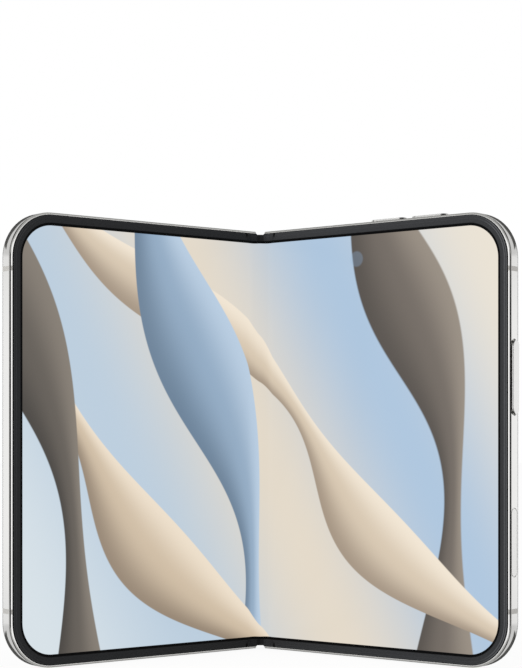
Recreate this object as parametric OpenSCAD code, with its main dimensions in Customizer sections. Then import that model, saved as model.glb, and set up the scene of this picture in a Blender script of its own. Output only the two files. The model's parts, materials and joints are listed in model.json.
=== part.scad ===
// Book-style foldable smartphone, standing half open on its lower edges.
//
// Row frame: +Z up, the fold runs along Z, the inner display faces -Y, and the
// origin is the middle of the footprint. Each half is drawn flat, with the
// display up: x from the fold, y along the height, depth counted backwards from
// the display glass. on_half() then folds it about its own axis and stands it up.

/* [Displays] */
// Width of the inner display, from the fold to its outer edge
display_half_w = 80.4; // [72:0.1:90]
// Height of the inner display
display_h = 113.9; // [104:0.1:124]
// Corner radius of the inner display
display_corner_r = 9.1; // [7:0.1:11]
// Thickness of the inner display panel
display_t = 0.45; // [0.35:0.01:0.5]
// How far the inner panel runs on under the bezel
panel_lap = 1.05; // [0.8:0.05:1.2]
// Half the width of the flexible stretch across the fold
fold_zone = 6.0; // [5.6:0.1:7]
// Thickness of the outer screen glass and of the back glass
glass_t = 0.7; // [0.6:0.05:0.8]
// Thickness of the outer screen's panel
cover_panel_t = 0.6; // [0.5:0.05:0.7]

/* [Body] */
// Depth of a half from the display surface to its glass back
body_t = 4.65; // [4.6:0.05:4.8]
// Width of the black bezel round the inner display
bezel_w = 2.85; // [2.6:0.05:3.2]
// Height of the bezel above the display
bezel_rise = 0.35; // [0.2:0.05:0.38]
// Width of the metal rim seen beside the bezel
rim_w = 0.55; // [0.5:0.05:0.8]
// Height of the metal rim above the display
rim_rise = 0.1; // [0.05:0.05:0.15]
// Rounding of the frame's long edges
edge_r = 0.45; // [0.3:0.05:0.5]
// Wall of the frame
frame_wall = 2.2; // [2:0.1:2.4]
// Width of the metal rim seen round the glass back
back_rim_w = 0.8; // [0.7:0.05:1.2]
// How far the glass back stands out of the metal rim
glass_proud = 0.1; // [0.05:0.05:0.15]
// Thickness of the plate that carries the display
midplate_t = 0.6; // [0.5:0.05:0.7]
// Seam between pieces that are fitted beside each other
seam = 0.02; // [0.01:0.01:0.04]

/* [Fold] */
// Angle of each half from flat, as it stands
fold_angle = 38; // [20:1:60]
// Distance of each fold axis from the middle plane
axis_x = 3.0; // [3:0.05:3.2]
// Depth of the fold axes behind the display surface
axis_depth = 2.55; // [2.5:0.05:2.6]
// Radius of the polished spine round each fold axis
spine_r = 1.55; // [1.5:0.05:1.6]
// Wall of the spine cover
spine_wall = 0.28; // [0.24:0.02:0.3]
// How far the spine's ends lie inside the frame's ends
spine_recess = 0.6; // [0.4:0.1:1]
// Distance from each frame end to the middle of a hinge module
module_inset = 22; // [18:1:26]
// Gap between the spine and the frame that turns round it
spine_gap = 0.2; // [0.15:0.05:0.25]
// Least width of the frame's rail beside the spine
rail_w = 1.2; // [1:0.05:1.3]
// Radius of the hinge pins
pin_r = 0.4; // [0.35:0.05:0.45]
// Radial clearance of the parts that turn on the pins
running_gap = 0.03; // [0.02:0.01:0.06]
// Teeth on each synchronising gear
gear_teeth = 10; // [10:2:12]
// Face width of the gears
gear_w = 1.4; // [1:0.1:1.6]
// Gap between turning and fixed faces along the pins
side_gap = 0.1; // [0.05:0.01:0.15]
// Length of the pivot hub of a hinge arm
hub_l = 4.2; // [3:0.1:5]
// Radius of the pivot hub
hub_r = 1.1; // [1:0.05:1.15]
// Thickness of a hinge arm beside its hub
arm_t = 1.15; // [1:0.05:1.2]
// Distance from the fold to the end of a hinge arm's foot
arm_end = 12; // [11:0.5:13]
// Height of a hinge arm's foot
foot_h = 11; // [10:0.5:12]
// Distance of the hinge screws from the ends of a foot
screw_inset = 2; // [1.5:0.1:2.5]
// Thickness of the friction discs
disc_t = 0.18; // [0.1:0.02:0.3]
// Height of the ribbon cable that crosses the fold
ribbon_h = 9; // [7:0.5:10]
// Length of the ribbon cable's tails past the frame's rails
ribbon_tail = 4; // [3:0.5:6]
// Thickness of the ribbon cable
ribbon_t = 0.15; // [0.1:0.05:0.2]
// Depth of the ribbon cable behind the display surface
ribbon_depth = 1.75; // [1.7:0.05:1.8]
// Thickness of the brackets that hold the hinge pins
bracket_t = 1.4; // [1:0.1:1.8]
// Distance from the fold to the end of the frame's front lip
lip_start = 2.82; // [2.8:0.01:3]
// Distance from the fold to the frame's back edge, laid flat
back_edge = 0.5; // [0.4:0.05:0.8]
// Thickness of the frame's thin wall behind the spine
back_wall = 0.35; // [0.3:0.01:0.4]

/* [Buttons] */
// Length of the power button
power_l = 19.5; // [16:0.1:22]
// Height of the power button's middle
power_z = 76.8; // [70:0.1:80]
// How far the power button stands out
power_proud = 0.7; // [0.3:0.05:0.8]
// Length of the capture button
capture_l = 18.0; // [14:0.1:20]
// Height of the capture button's middle
capture_z = 33.5; // [30:0.1:40]
// Length of each volume button
volume_l = 11.1; // [9:0.1:12]
// Space between the volume buttons
volume_space = 2.2; // [2:0.1:4]
// Distance from the fold to the middle of the volume pair
volume_x = 51.3; // [46:0.1:56]
// How far the volume buttons stand out
volume_proud = 0.55; // [0.3:0.05:0.6]
// Width of every button across the frame
button_w = 2.9; // [2.4:0.1:3]
// Gap round each button in the frame
button_gap = 0.08; // [0.05:0.01:0.12]
// Travel of every button
button_travel = 0.25; // [0.15:0.05:0.3]
// Width of the shallow recess round a button that stands out
recess_w = 0.35; // [0.2:0.05:0.4]
// Depth of that recess
recess_t = 0.3; // [0.15:0.05:0.4]
// How much slimmer a button is behind its cap
neck_step = 0.8; // [0.6:0.1:1]
// How far a button's flange reaches past each end of the cap
flange_lap = 0.9; // [0.6:0.1:1.2]
// Thickness of a button's flange
flange_t = 0.7; // [0.5:0.1:0.8]
// Length of the plunger behind the flange
plunger_l = 0.5; // [0.3:0.1:0.7]
// Width of the plunger along the button
plunger_w = 4; // [3:0.5:5]
// Height of a dome switch on its foot
switch_t = 1.1; // [0.9:0.1:1.2]

/* [Aerial bands] */
// Width of a plastic band across the metal frame
band_w = 1.3; // [1:0.1:2]
// Distance of the bands from the frame's ends
band_inset = 15.5; // [14:0.1:20]
// Depth of a band in the metal
band_t = 1.2; // [0.8:0.1:1.6]

/* [Rear camera] */
// Length of the camera island
island_l = 37; // [34:0.5:42]
// Width of the camera island
island_w = 17; // [15:0.5:18]
// Height of the camera island above the glass
island_t = 1.6; // [1.2:0.1:2]
// Distance from the island to the frame's outer edges
island_margin = 7.5; // [7:0.5:9]
// Radius of a lens ring
ring_r = 6.4; // [5.5:0.1:7]
// Height of a lens ring above the island
ring_rise = 0.5; // [0.3:0.1:0.8]
// Radius of the glass in a lens ring
lens_r = 5.2; // [4.5:0.1:5.3]
// Thickness of a lens glass
lens_t = 0.6; // [0.5:0.05:0.7]
// Side of a camera module
camera_side = 11; // [10:0.5:12]
// Radius of the flash window
flash_r = 1.9; // [1.5:0.1:2.2]

/* [Inner camera and ports] */
// Distance from the fold to the camera under the display
under_camera_x = 34.5; // [30:0.5:38]
// Distance of that camera from the display's top edge
under_camera_drop = 7.5; // [7:0.5:9]
// Radius of the lens of that camera
small_camera_r = 2.4; // [2:0.1:2.6]
// Radius of the lens of the outer screen's camera
cover_camera_r = 1.8; // [1.5:0.1:2]
// Distance from the fold to the outer screen's camera
cover_camera_x = 42; // [36:1:48]
// Side of the square base of a small camera
camera_base = 6; // [5.6:0.2:6.4]
// Thickness of the small cameras' bases and of the earpiece
small_part_t = 2; // [1.6:0.1:2.1]
// Length of the earpiece
earpiece_l = 14; // [12:1:16]
// Width of the earpiece
earpiece_w = 5; // [4:0.5:5.5]
// Distance from the outer screen's camera to the earpiece's middle
earpiece_step = 13; // [12:0.5:16]
// Length of the sound slot over the earpiece
slot_l = 9; // [7:0.5:11]
// Width of the sound slot
slot_w = 0.6; // [0.4:0.1:0.8]
// Distance of the sound slot from the edge of the outer glass
slot_margin = 0.8; // [0.6:0.1:1]
// Width of the charging port's opening
port_w = 8.34; // [8.2:0.01:8.5]
// Height of the charging port's opening
port_h = 2.56; // [2.5:0.01:2.6]
// Wall of the charging port's metal shell
port_wall = 0.3; // [0.2:0.05:0.35]
// Length of the charging port
port_l = 7.3; // [6.5:0.1:8]
// Distance from the fold to the charging port
port_x = 44; // [40:1:48]
// How far the tongue lies inside the port's mouth
tongue_inset = 1; // [0.8:0.1:1.2]
// Width of the tongue in the charging port
tongue_w = 6.6; // [6.4:0.05:6.7]
// Thickness of the tongue in the charging port
tongue_t = 0.7; // [0.65:0.05:0.75]
// Distance from the charging port to the first loudspeaker hole
speaker_step = 14; // [12:0.5:16]
// Distance from the charging port to the microphone hole
mic_step = 9; // [7:0.5:11]
// Radius of the microphone hole
mic_r = 0.35; // [0.3:0.05:0.4]
// Radius of a loudspeaker hole
speaker_hole_r = 0.6; // [0.4:0.1:0.7]
// Number of loudspeaker holes
speaker_holes = 6; // [4:1:6]
// Spacing of the loudspeaker holes
speaker_pitch = 2; // [1.8:0.1:2.2]

/* [Inner parts] */
// Room between the inner parts and what surrounds them
bay_gap = 0.1; // [0.05:0.05:0.15]
// Space between batteries, boards and cameras
part_gap = 1.5; // [1:0.1:2]
// Distance from the fold to the inner parts beside the hinge
bay_start = 14; // [13:0.5:16]
// Width of the batteries
battery_w = 46; // [40:1:48]
// Height of the right battery
right_battery_h = 61; // [50:1:64]
// Height of the left battery
left_battery_h = 80; // [60:1:82]
// Corner radius of the batteries
battery_corner_r = 2; // [1:0.5:3]
// Height of the main board, between the right battery and the rear cameras
board_h = 15; // [12:1:16]
// Height of the left board, between the left battery and the outer camera
left_board_h = 9; // [7:0.5:10]
// Thickness of the circuit boards
board_t = 0.8; // [0.6:0.1:1]
// Height of the parts on the boards, under their shields
shield_t = 1.2; // [1:0.1:1.3]
// Margin of a board round its shields
shield_margin = 1.5; // [1:0.1:2]
// Space between the shields on a board
shield_space = 4; // [2:0.5:5]
// Outer radius of the charging coil
coil_r = 19; // [16:1:20]
// Width of the charging coil's winding
coil_band = 8; // [6:1:10]
// Thickness of the charging coil
coil_t = 0.25; // [0.2:0.05:0.3]
// Radius of the vibration motor
motor_r = 5; // [4:0.5:6]
// Radius of a hinge screw's head
screw_r = 0.9; // [0.7:0.1:1]

/* [Hidden] */
$fn = 48;
half_w = display_half_w + bezel_w + rim_w;
frame_inset = bezel_w + rim_w;
body_h = display_h + 2 * frame_inset;
corner_r = display_corner_r + frame_inset;
frame_back = body_t - glass_proud;
glass_front = body_t - glass_t;
mid_back = display_t + midplate_t;
inner_x = half_w - frame_wall;
inner_y0 = frame_wall;
inner_y1 = body_h - frame_wall;
panel_inset = frame_inset - panel_lap;
rail_start = axis_x + spine_r + spine_gap;
rail_end = max(fold_zone, rail_start + rail_w);
plate_start = rail_start + bay_gap;
back_gap = frame_back - back_wall;      // depth of the thin wall's inner face
spine_in = spine_r - spine_wall;
spine_edge = axis_depth + 0.05;         // the cover ends just behind the axes
spine_back_in = axis_depth + spine_in;
cap_start = axis_depth + 0.3;           // front of the spine's end caps
strip_t = display_t - 0.05;             // the flexible strips keep clear of what is behind them
bracket_r = spine_in - seam;
gear_pitch = 2 * axis_x / 3;            // four equal gears in line between the axes
gear_r = gear_pitch / 2;
gear_module = gear_pitch / gear_teeth;
through = 1;                            // how far a cut runs past the faces that it opens
weld = 0.5;                             // how far the bars of one frame run into each other
module_z = [module_inset, body_h - module_inset];
arm_back = axis_depth - 0.05;           // back of the arms and of their feet
screw_head_t = 0.4;
// Places along the pins, from the middle of a hinge module
gear_t0 = -hub_l / 2 - gear_w;
near_t = gear_t0 - side_gap;
far_t = hub_l / 2 + disc_t + 2 * seam;
button_depth = (display_t + glass_front) / 2;
flange_w = button_w - neck_step;
flange_top = -frame_wall - button_gap;
plunger_end = flange_top - flange_t - plunger_l;
switch_top = plunger_end - button_travel - 0.05;
cap_edge = 0.15;                        // stepped edge of a button's cap
battery_x1 = bay_start + battery_w;
volume_step = (volume_l + volume_space) / 2;
island_x = half_w - island_margin - island_l / 2;
island_y = body_h - island_margin - island_w / 2;
lens_step = (island_l - island_w) / 2;
island_back = body_t + island_t;
glass_back = island_back - 0.3;         // front of the lens glasses, inside the rings
barrel_r = lens_r - 0.4;
under_camera_y = body_h - frame_inset - under_camera_drop;
board_x1 = inner_x - 2 * part_gap;
board_y0 = island_y - camera_side / 2 - part_gap - board_h;
right_battery_y0 = board_y0 - part_gap - right_battery_h;
panel_room = 0.5;                       // between the outer screen's panel and the frame
cover_camera_y = inner_y1 - part_gap - camera_base / 2;
left_board_y0 = cover_camera_y - camera_base / 2 - part_gap - left_board_h;
left_battery_y0 = left_board_y0 - part_gap - left_battery_h;
earpiece_x = cover_camera_x + earpiece_step;
earpiece_y1 = inner_y1 - part_gap;
slot_y = body_h - back_rim_w - seam - slot_margin - slot_w / 2;
coil_x = bay_start + battery_w / 2;
coil_y = right_battery_y0 + right_battery_h / 2;
port_depth = button_depth;
port_room = port_w / 2 + port_wall + bay_gap;
speaker_x = port_x + speaker_step;
bay_back = glass_front - coil_t - 0.05; // back of the deep parts, in front of the coil
// The footprint's middle is the origin
y_back = axis_depth + (axis_x - back_edge) * sin(fold_angle)
       + (frame_back - axis_depth) * cos(fold_angle);
y_front = axis_depth - (half_w - edge_r - axis_x) * sin(fold_angle)
        - (axis_depth + rim_rise) * cos(fold_angle);
origin_y = -(y_back + y_front) / 2;
// The flexible pieces follow one arc that is tangent to both halves
flex_x = axis_x + (fold_zone - axis_x) * cos(fold_angle) - axis_depth * sin(fold_angle);
flex_y = axis_depth - (fold_zone - axis_x) * sin(fold_angle) - axis_depth * cos(fold_angle);
flex_r = flex_x / sin(fold_angle);
flex_centre = flex_y - flex_r * cos(fold_angle);
silver = [0.83, 0.82, 0.80];
black = [0.07, 0.07, 0.075];

// ---- Places ----

// Folds a half that is drawn flat and stands it up; side is 1 right, -1 left
module on_half(side)
  translate([0, origin_y, 0])
    mirror([side < 0 ? 1 : 0, 0, 0])
      translate([axis_x, axis_depth, 0])
        rotate([0, 0, -fold_angle])
          translate([-axis_x, -axis_depth, 0])
            rotate([90, 0, 0])
              children();

// The spine's pieces are drawn in plan, with y as the depth
module on_spine() translate([0, origin_y, 0]) children();

// ---- Shapes ----

// A box on a half, between two depths
module slab(x0, x1, y0, y1, d0, d1)
  translate([x0, y0, -d1]) cube([x1 - x0, y1 - y0, d1 - d0]);

// A round piece on a half, with its axis along the depth
module disc(x, y, r, d0, d1)
  translate([x, y, -d1]) cylinder(r = r, h = d1 - d0);

// A rectangle whose outer and hinge-side corners have their own radii
module rounded_rect(x0, x1, y0, y1, ro, ri) {
  polygon([
    [x0 + ri, y0], [x1 - ro, y0], [x1, y0 + ro], [x1, y1 - ro],
    [x1 - ro, y1], [x0 + ri, y1], [x0, y1 - ri], [x0, y0 + ri]
  ]);
  for (y = [y0 + ro, y1 - ro]) translate([x1 - ro, y]) circle(r = ro);
  for (y = [y0 + ri, y1 - ri]) translate([x0 + ri, y]) circle(r = ri);
}

// A rounded plate on a half, between two depths
module plate(x0, x1, y0, y1, ro, ri, d0, d1)
  translate([0, 0, -d1]) linear_extrude(d1 - d0) rounded_rect(x0, x1, y0, y1, ro, ri);

// A bar with round ends along y, drawn round the origin
module capsule(length, width) {
  square([width, length - width], center = true);
  for (s = [-1, 1]) translate([0, s * (length - width) / 2]) circle(r = width / 2);
}

// Carries a rim profile round the three outer sides of a half. The profile's x
// is the distance from the corner's centre, and its y is minus the depth
module rim_path(start) {
  cx = half_w - corner_r;
  translate([cx, body_h - corner_r, 0])
    rotate([90, 0, 0]) linear_extrude(body_h - 2 * corner_r) children();
  translate([cx, body_h - corner_r, 0]) rotate_extrude(angle = 90) children();
  translate([cx, corner_r, 0]) rotate([0, 0, -90]) rotate_extrude(angle = 90) children();
  translate([start, body_h - corner_r, 0])
    rotate([90, 0, 90]) linear_extrude(cx - start) children();
  translate([start, corner_r, 0])
    mirror([0, 1, 0]) rotate([90, 0, 90]) linear_extrude(cx - start) children();
}

function arc(cx, cy, r, a0, a1, steps) =
  [for (i = [0:steps]) let (a = a0 + (a1 - a0) * i / steps) [cx + r * cos(a), cy + r * sin(a)]];

// Outer part of the frame's section, down to a depth of metal inwards
function rim_outline(inner, front_in, back_in) = concat(
  [[inner, front_in], [corner_r - rim_w, front_in], [corner_r - rim_w, rim_rise]],
  arc(corner_r - edge_r, rim_rise - edge_r, edge_r, 90, 0, 6),
  arc(corner_r - edge_r, edge_r - frame_back, edge_r, 0, -90, 6),
  [[corner_r - back_rim_w, -frame_back], [corner_r - back_rim_w, back_in], [inner, back_in]]
);

module frame_section()
  polygon(rim_outline(corner_r - frame_wall, -display_t, -glass_front));

module bezel_section() {
  outer = corner_r - rim_w - seam;
  soft = 0.15;
  polygon(concat(
    [[outer, -display_t]],
    arc(outer - soft, bezel_rise - soft, soft, 0, 90, 3),
    arc(display_corner_r + soft, bezel_rise - soft, soft, 90, 180, 3),
    [[display_corner_r, 0], [corner_r - panel_inset + seam, 0],
     [corner_r - panel_inset + seam, -display_t]]
  ));
}

// Puts a button's shape at its place; outwards is +Z, its length is along Y
module at_side_button(y) translate([half_w, y, -button_depth]) rotate([0, 90, 0]) children();
module at_top_button(x) translate([x, body_h, -button_depth]) rotate([-90, 90, 0]) children();

module button_opening(length)
  translate([0, 0, -frame_wall - through])
    linear_extrude(frame_wall + 2 * through)
      capsule(length + 2 * button_gap, button_w + 2 * button_gap);

// Opening of a button that stands out, in a shallow recess
module recessed_opening(length) {
  button_opening(length);
  translate([0, 0, -recess_t])
    linear_extrude(recess_t + through)
      capsule(length + 2 * recess_w, button_w + 2 * recess_w);
}

// Cap, neck, flange behind the wall, and plunger
module button_body(length, proud) {
  cap_t = frame_wall - 0.4;
  top_step = 0.2;
  translate([0, 0, -cap_t]) linear_extrude(cap_t + proud - cap_edge) capsule(length, button_w);
  translate([0, 0, proud - cap_edge])
    linear_extrude(cap_edge) capsule(length - top_step, button_w - top_step);
  translate([0, 0, flange_top]) linear_extrude(-flange_top - cap_t) capsule(length - neck_step, flange_w);
  translate([0, 0, flange_top - flange_t])
    linear_extrude(flange_t) capsule(length + 2 * flange_lap, flange_w);
  translate([0, 0, plunger_end]) linear_extrude(plunger_l) capsule(plunger_w, flange_w - 0.6);
}

// The dome switch that a button presses, with its own foot
module button_switch()
  translate([0, 0, switch_top - switch_t]) {
    linear_extrude(switch_t / 2) square([flange_w, 2 * plunger_w], center = true);
    linear_extrude(switch_t) capsule(plunger_w - 0.4, flange_w - neck_step);
  }

// A gear outline: straight-flanked teeth with backlash and rounded roots
module gear_outline() {
  tip = gear_r + 0.80 * gear_module;
  root = gear_r - 1.05 * gear_module;
  pitch_half = 90 / gear_teeth * 0.86;
  tip_half = pitch_half * 0.42;
  root_half = pitch_half * 1.62;
  polygon([
    for (k = [0:gear_teeth - 1]) let (a = k * 360 / gear_teeth)
      each [
        root * [cos(a - root_half), sin(a - root_half)],
        gear_r * [cos(a - pitch_half), sin(a - pitch_half)],
        tip * [cos(a - tip_half), sin(a - tip_half)],
        tip * [cos(a + tip_half), sin(a + tip_half)],
        gear_r * [cos(a + pitch_half), sin(a + pitch_half)],
        root * [cos(a + root_half), sin(a + root_half)]
      ]
  ]);
}

// One gear of the train at x, in each hinge module; half_turn shifts it half a tooth
module gears_at(x, half_turn)
  on_spine()
    for (z = module_z)
      translate([x, axis_depth, z + gear_t0]) linear_extrude(gear_w) difference() {
        rotate(half_turn ? 180 / gear_teeth : 0) gear_outline();
        circle(r = pin_r + running_gap);
      }

// A strip that follows the flexible arc, between two depths and two heights
module flex_strip(d0, d1, z0, z1)
  on_spine()
    translate([0, flex_centre, z0])
      rotate([0, 0, 90 - fold_angle])
        rotate_extrude(angle = 2 * fold_angle, $fn = 180)
          translate([flex_r + d0, 0]) square([d1 - d0, z1 - z0]);

// ---- Spine ----

// Section of the spine behind the fold axes
module spine_section(r, edge)
  intersection() {
    union() {
      for (s = [-1, 1]) translate([s * axis_x, axis_depth]) circle(r = r);
      translate([-axis_x, axis_depth]) square([2 * axis_x, r]);
    }
    translate([-axis_x - r, edge]) square([2 * (axis_x + r), axis_depth + r - edge]);
  }

module spine_cover() color(silver)
  on_spine() translate([0, 0, spine_recess]) linear_extrude(body_h - 2 * spine_recess)
    difference() {
      spine_section(spine_r, spine_edge);
      spine_section(spine_in, axis_depth);
    }

module spine_end_caps() color(black)
  on_spine()
    for (z = [spine_recess, body_h - spine_recess - frame_wall])
      translate([-axis_x, cap_start, z]) cube([2 * axis_x, spine_back_in - cap_start, frame_wall]);

// Bracket with a flat seat on the spine cover
module bracket(x, t0, t1)
  translate([0, axis_depth, t0]) difference() {
    union() {
      for (s = [-1, 1]) translate([s * x, 0, 0]) cylinder(r = bracket_r, h = t1 - t0);
      translate([-x, -bracket_r, 0]) cube([2 * x, bracket_r + spine_in, t1 - t0]);
    }
    for (px = [-axis_x, -gear_r, gear_r, axis_x])
      translate([px, 0, -through]) cylinder(r = pin_r, h = t1 - t0 + 2 * through);
  }

module hinge_brackets() color("silver")
  on_spine() for (z = module_z) translate([0, 0, z]) {
    bracket(axis_x, near_t - bracket_t, near_t);
    bracket(axis_x, far_t, far_t + bracket_t);
    middle_bracket();
  }

// Carries the idler pins between the two arms, clear of their hubs
module middle_bracket() {
  half = axis_x - hub_r - side_gap;
  t0 = gear_t0 + gear_w + side_gap;
  translate([0, axis_depth, t0]) difference() {
    translate([-half, -bracket_r, 0]) cube([2 * half, bracket_r + spine_in, far_t - t0]);
    for (px = [-gear_r, gear_r])
      translate([px, 0, -through]) cylinder(r = pin_r, h = far_t - t0 + 2 * through);
  }
}

module hinge_pins(x)
  on_spine() for (z = module_z, s = [-1, 1])
    translate([s * x, axis_depth, z + near_t - bracket_t])
      cylinder(r = pin_r, h = far_t - near_t + 2 * bracket_t);

module fold_pins() color("silver") hinge_pins(axis_x);
module idler_pins() color("silver") hinge_pins(gear_r);

module friction_discs() color("goldenrod")
  on_spine() for (z = module_z, s = [-1, 1])
    translate([s * axis_x, axis_depth, z + hub_l / 2 + seam]) difference() {
      cylinder(r = hub_r - 0.1, h = far_t - hub_l / 2 - seam);
      translate([0, 0, -through]) cylinder(r = pin_r + seam, h = disc_t + 2 * through);
    }

module display_fold_strip() color([0.55, 0.62, 0.68])
  flex_strip(0, strip_t, panel_inset, body_h - panel_inset);

module bezel_fold_strips() color(black)
  for (low = [true, false]) {
    z_out = low ? rim_w + seam : body_h - frame_inset;
    z_mid = low ? rim_w + seam : body_h - panel_inset + seam;
    flex_strip(-bezel_rise, 0, z_out, z_out + bezel_w - seam);
    flex_strip(0, strip_t, z_mid, z_mid + panel_inset - rim_w - 2 * seam);
  }

// A ribbon between the halves that passes in front of the spine's back
module hinge_flex_cable() color("orange") {
  y0 = (body_h - ribbon_h) / 2;
  for (side = [-1, 1]) on_half(side)
    slab(axis_x, rail_end + ribbon_tail, y0, y0 + ribbon_h, ribbon_depth, ribbon_depth + ribbon_t);
  reach = flex_reach(ribbon_depth + ribbon_t / 2);
  on_spine() translate([-reach[0], reach[1] - ribbon_t / 2, y0]) cube([2 * reach[0], ribbon_t, ribbon_h]);
}

// Where a point over the fold axis, at a depth on the folded half, comes to lie
function flex_reach(depth) = [
  axis_x + (depth - axis_depth) * sin(fold_angle),
  axis_depth + (depth - axis_depth) * cos(fold_angle)
];

module left_idler_gears() color("gold") gears_at(-gear_r, true);
module right_idler_gears() color("gold") gears_at(gear_r, false);
module left_fold_gears() color("gold") gears_at(-axis_x, false);
module right_fold_gears() color("gold") gears_at(axis_x, true);

// ---- What both halves have ----

module frame_shell() {
  arm_room = 0.2;
  ribbon_room = 0.8;
  ease = 0.2;
  difference() {
    union() {
      rim_path(back_edge) frame_section();
      slab(back_edge, rail_end, inner_y0 - weld, inner_y1 + weld, back_gap, frame_back);
      slab(rail_start, rail_end, inner_y0 - weld, inner_y1 + weld, mid_back, frame_back);
    }
    // The rails leave room for the spine and end short of the fold in front
    slab(-through, rail_start, -through, body_h + through, axis_depth - spine_r - spine_gap / 2, back_gap);
    slab(-through, lip_start, -through, body_h + through, -through, back_gap);
    // The back edge beside the fold is eased
    translate([back_edge, -through, -frame_back]) rotate([0, 45, 0])
      translate([-ease, 0, -ease]) cube([2 * ease, body_h + 2 * through, 2 * ease]);
    // The arms and the ribbon pass through the rail beside the spine
    for (y = module_z)
      slab(rail_start - through, rail_end + through, y - hub_l / 2 - arm_room, y + hub_l / 2 + arm_room,
           mid_back - through, axis_depth + arm_room);
    slab(rail_start - through, rail_end + through, body_h / 2 - ribbon_h / 2 - ribbon_room,
         body_h / 2 + ribbon_h / 2 + ribbon_room, ribbon_depth - ribbon_room / 2, axis_depth);
    antenna_slots();
  }
}

// Slots across the rim, which the bands fill
module antenna_slots()
  for (y = [band_inset, body_h - band_inset])
    translate([half_w - band_t, y - band_w / 2, -2 * frame_back]) cube([2 * band_t, band_w, 4 * frame_back]);

module antenna_bands() color([0.62, 0.61, 0.59])
  intersection() {
    rim_path(back_edge) frame_section();
    antenna_slots();
  }

module midplate() color([0.55, 0.56, 0.58])
  difference() {
    plate(plate_start, inner_x, inner_y0, inner_y1, corner_r - frame_wall, 0.5, display_t, mid_back);
    at_arm_screws() arm_screw_hole();
  }

module display_panel() color([0.5, 0.6, 0.7])
  plate(fold_zone + seam, half_w - panel_inset, panel_inset, body_h - panel_inset,
        corner_r - panel_inset, 0.05, 0, display_t);

module bezel() color(black) rim_path(fold_zone + 0.1) bezel_section();

module battery(y0, h, back) color([0.12, 0.12, 0.13])
  plate(bay_start, battery_x1, y0, y0 + h, battery_corner_r, battery_corner_r, mid_back + bay_gap, back);

// A circuit board beside the midplate, from a height up
module board(y0, h) color([0.1, 0.3, 0.2])
  slab(bay_start, board_x1, y0, y0 + h, mid_back, mid_back + board_t);

// A row of shields that fills a board between its margins
module shields(count, y0, h) color([0.7, 0.7, 0.72]) {
  x0 = bay_start + shield_margin;
  step = (board_x1 - shield_margin - x0 + shield_space) / count;
  for (i = [0:count - 1])
    slab(x0 + i * step, x0 + (i + 1) * step - shield_space, y0 + shield_margin, y0 + h - shield_margin,
         mid_back + board_t, mid_back + board_t + shield_t);
}

module at_arm_screws()
  for (y = module_z, s = [-1, 1])
    translate([(rail_end + arm_end + screw_r) / 2, y + s * (foot_h / 2 - screw_inset), 0]) children();

module arm_screw_hole()
  translate([0, 0, -axis_depth - through]) cylinder(r = screw_r / 2, h = axis_depth + 2 * through);

// Hub on the fold pin, arm through the rail, and foot under the midplate
module hinge_arms() color("silver")
  difference() {
    for (y = module_z) {
      translate([axis_x, y + hub_l / 2, -axis_depth]) rotate([90, 0, 0]) cylinder(r = hub_r, h = hub_l);
      slab(axis_x, rail_end + 1, y - hub_l / 2, y + hub_l / 2, axis_depth - arm_t, arm_back);
      slab(rail_end + 0.2, arm_end, y - foot_h / 2, y + foot_h / 2, mid_back, arm_back);
    }
    for (y = module_z)
      translate([axis_x, y + hub_l, -axis_depth]) rotate([90, 0, 0])
        cylinder(r = pin_r + running_gap, h = 2 * hub_l);
    at_arm_screws() arm_screw_hole();
  }

module hinge_screws() color("silver")
  at_arm_screws() {
    translate([0, 0, -arm_back - screw_head_t]) cylinder(r = screw_r, h = screw_head_t);
    translate([0, 0, -arm_back]) cylinder(r = screw_r / 2, h = arm_back - display_t - 0.05);
  }

module glass_sheet(start)
  plate(start, half_w - back_rim_w - seam, back_rim_w + seam, body_h - back_rim_w - seam,
        corner_r - back_rim_w - seam, 0.6, glass_front, body_t);

// ---- Left half ----

module left_frame() color(silver) on_half(-1) frame_shell();
module left_antenna_bands() on_half(-1) antenna_bands();
module left_midplate() on_half(-1) midplate();
module left_display() on_half(-1) display_panel();
module left_bezel() on_half(-1) bezel();
module left_battery()
  on_half(-1) battery(left_battery_y0, left_battery_h, glass_front - cover_panel_t - 2 * bay_gap);
module left_board() on_half(-1) board(left_board_y0, left_board_h);
module left_board_shields() on_half(-1) shields(2, left_board_y0, left_board_h);
module left_hinge_arms() on_half(-1) hinge_arms();
module left_hinge_screws() on_half(-1) hinge_screws();
module cover_glass() color([0.05, 0.05, 0.06]) on_half(-1) difference() {
  glass_sheet(rail_end + seam);
  translate([earpiece_x, slot_y, -body_t - through])
    linear_extrude(glass_t + 2 * through) rotate(90) capsule(slot_l, slot_w);
}

module earpiece() color([0.2, 0.2, 0.2])
  on_half(-1) slab(earpiece_x - earpiece_l / 2, earpiece_x + earpiece_l / 2,
                   earpiece_y1 - earpiece_w, earpiece_y1, mid_back, mid_back + small_part_t);

// Square base of a small camera, on the midplate
module camera_base_at(x, y)
  slab(x - camera_base / 2, x + camera_base / 2, y - camera_base / 2, y + camera_base / 2,
       mid_back, mid_back + small_part_t);

module cover_camera() color([0.08, 0.08, 0.1])
  on_half(-1) {
    camera_base_at(cover_camera_x, cover_camera_y);
    disc(cover_camera_x, cover_camera_y, cover_camera_r, mid_back + small_part_t - seam, glass_front - seam);
  }

module cover_panel() color([0.1, 0.1, 0.12])
  on_half(-1) difference() {
    plate(rail_end + part_gap, inner_x - panel_room, inner_y0 + panel_room, inner_y1 - panel_room,
          corner_r - frame_wall - panel_room, 2, glass_front - cover_panel_t, glass_front);
    disc(cover_camera_x, cover_camera_y, cover_camera_r + bay_gap, 0, body_t);
  }

// ---- Right half ----

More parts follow.
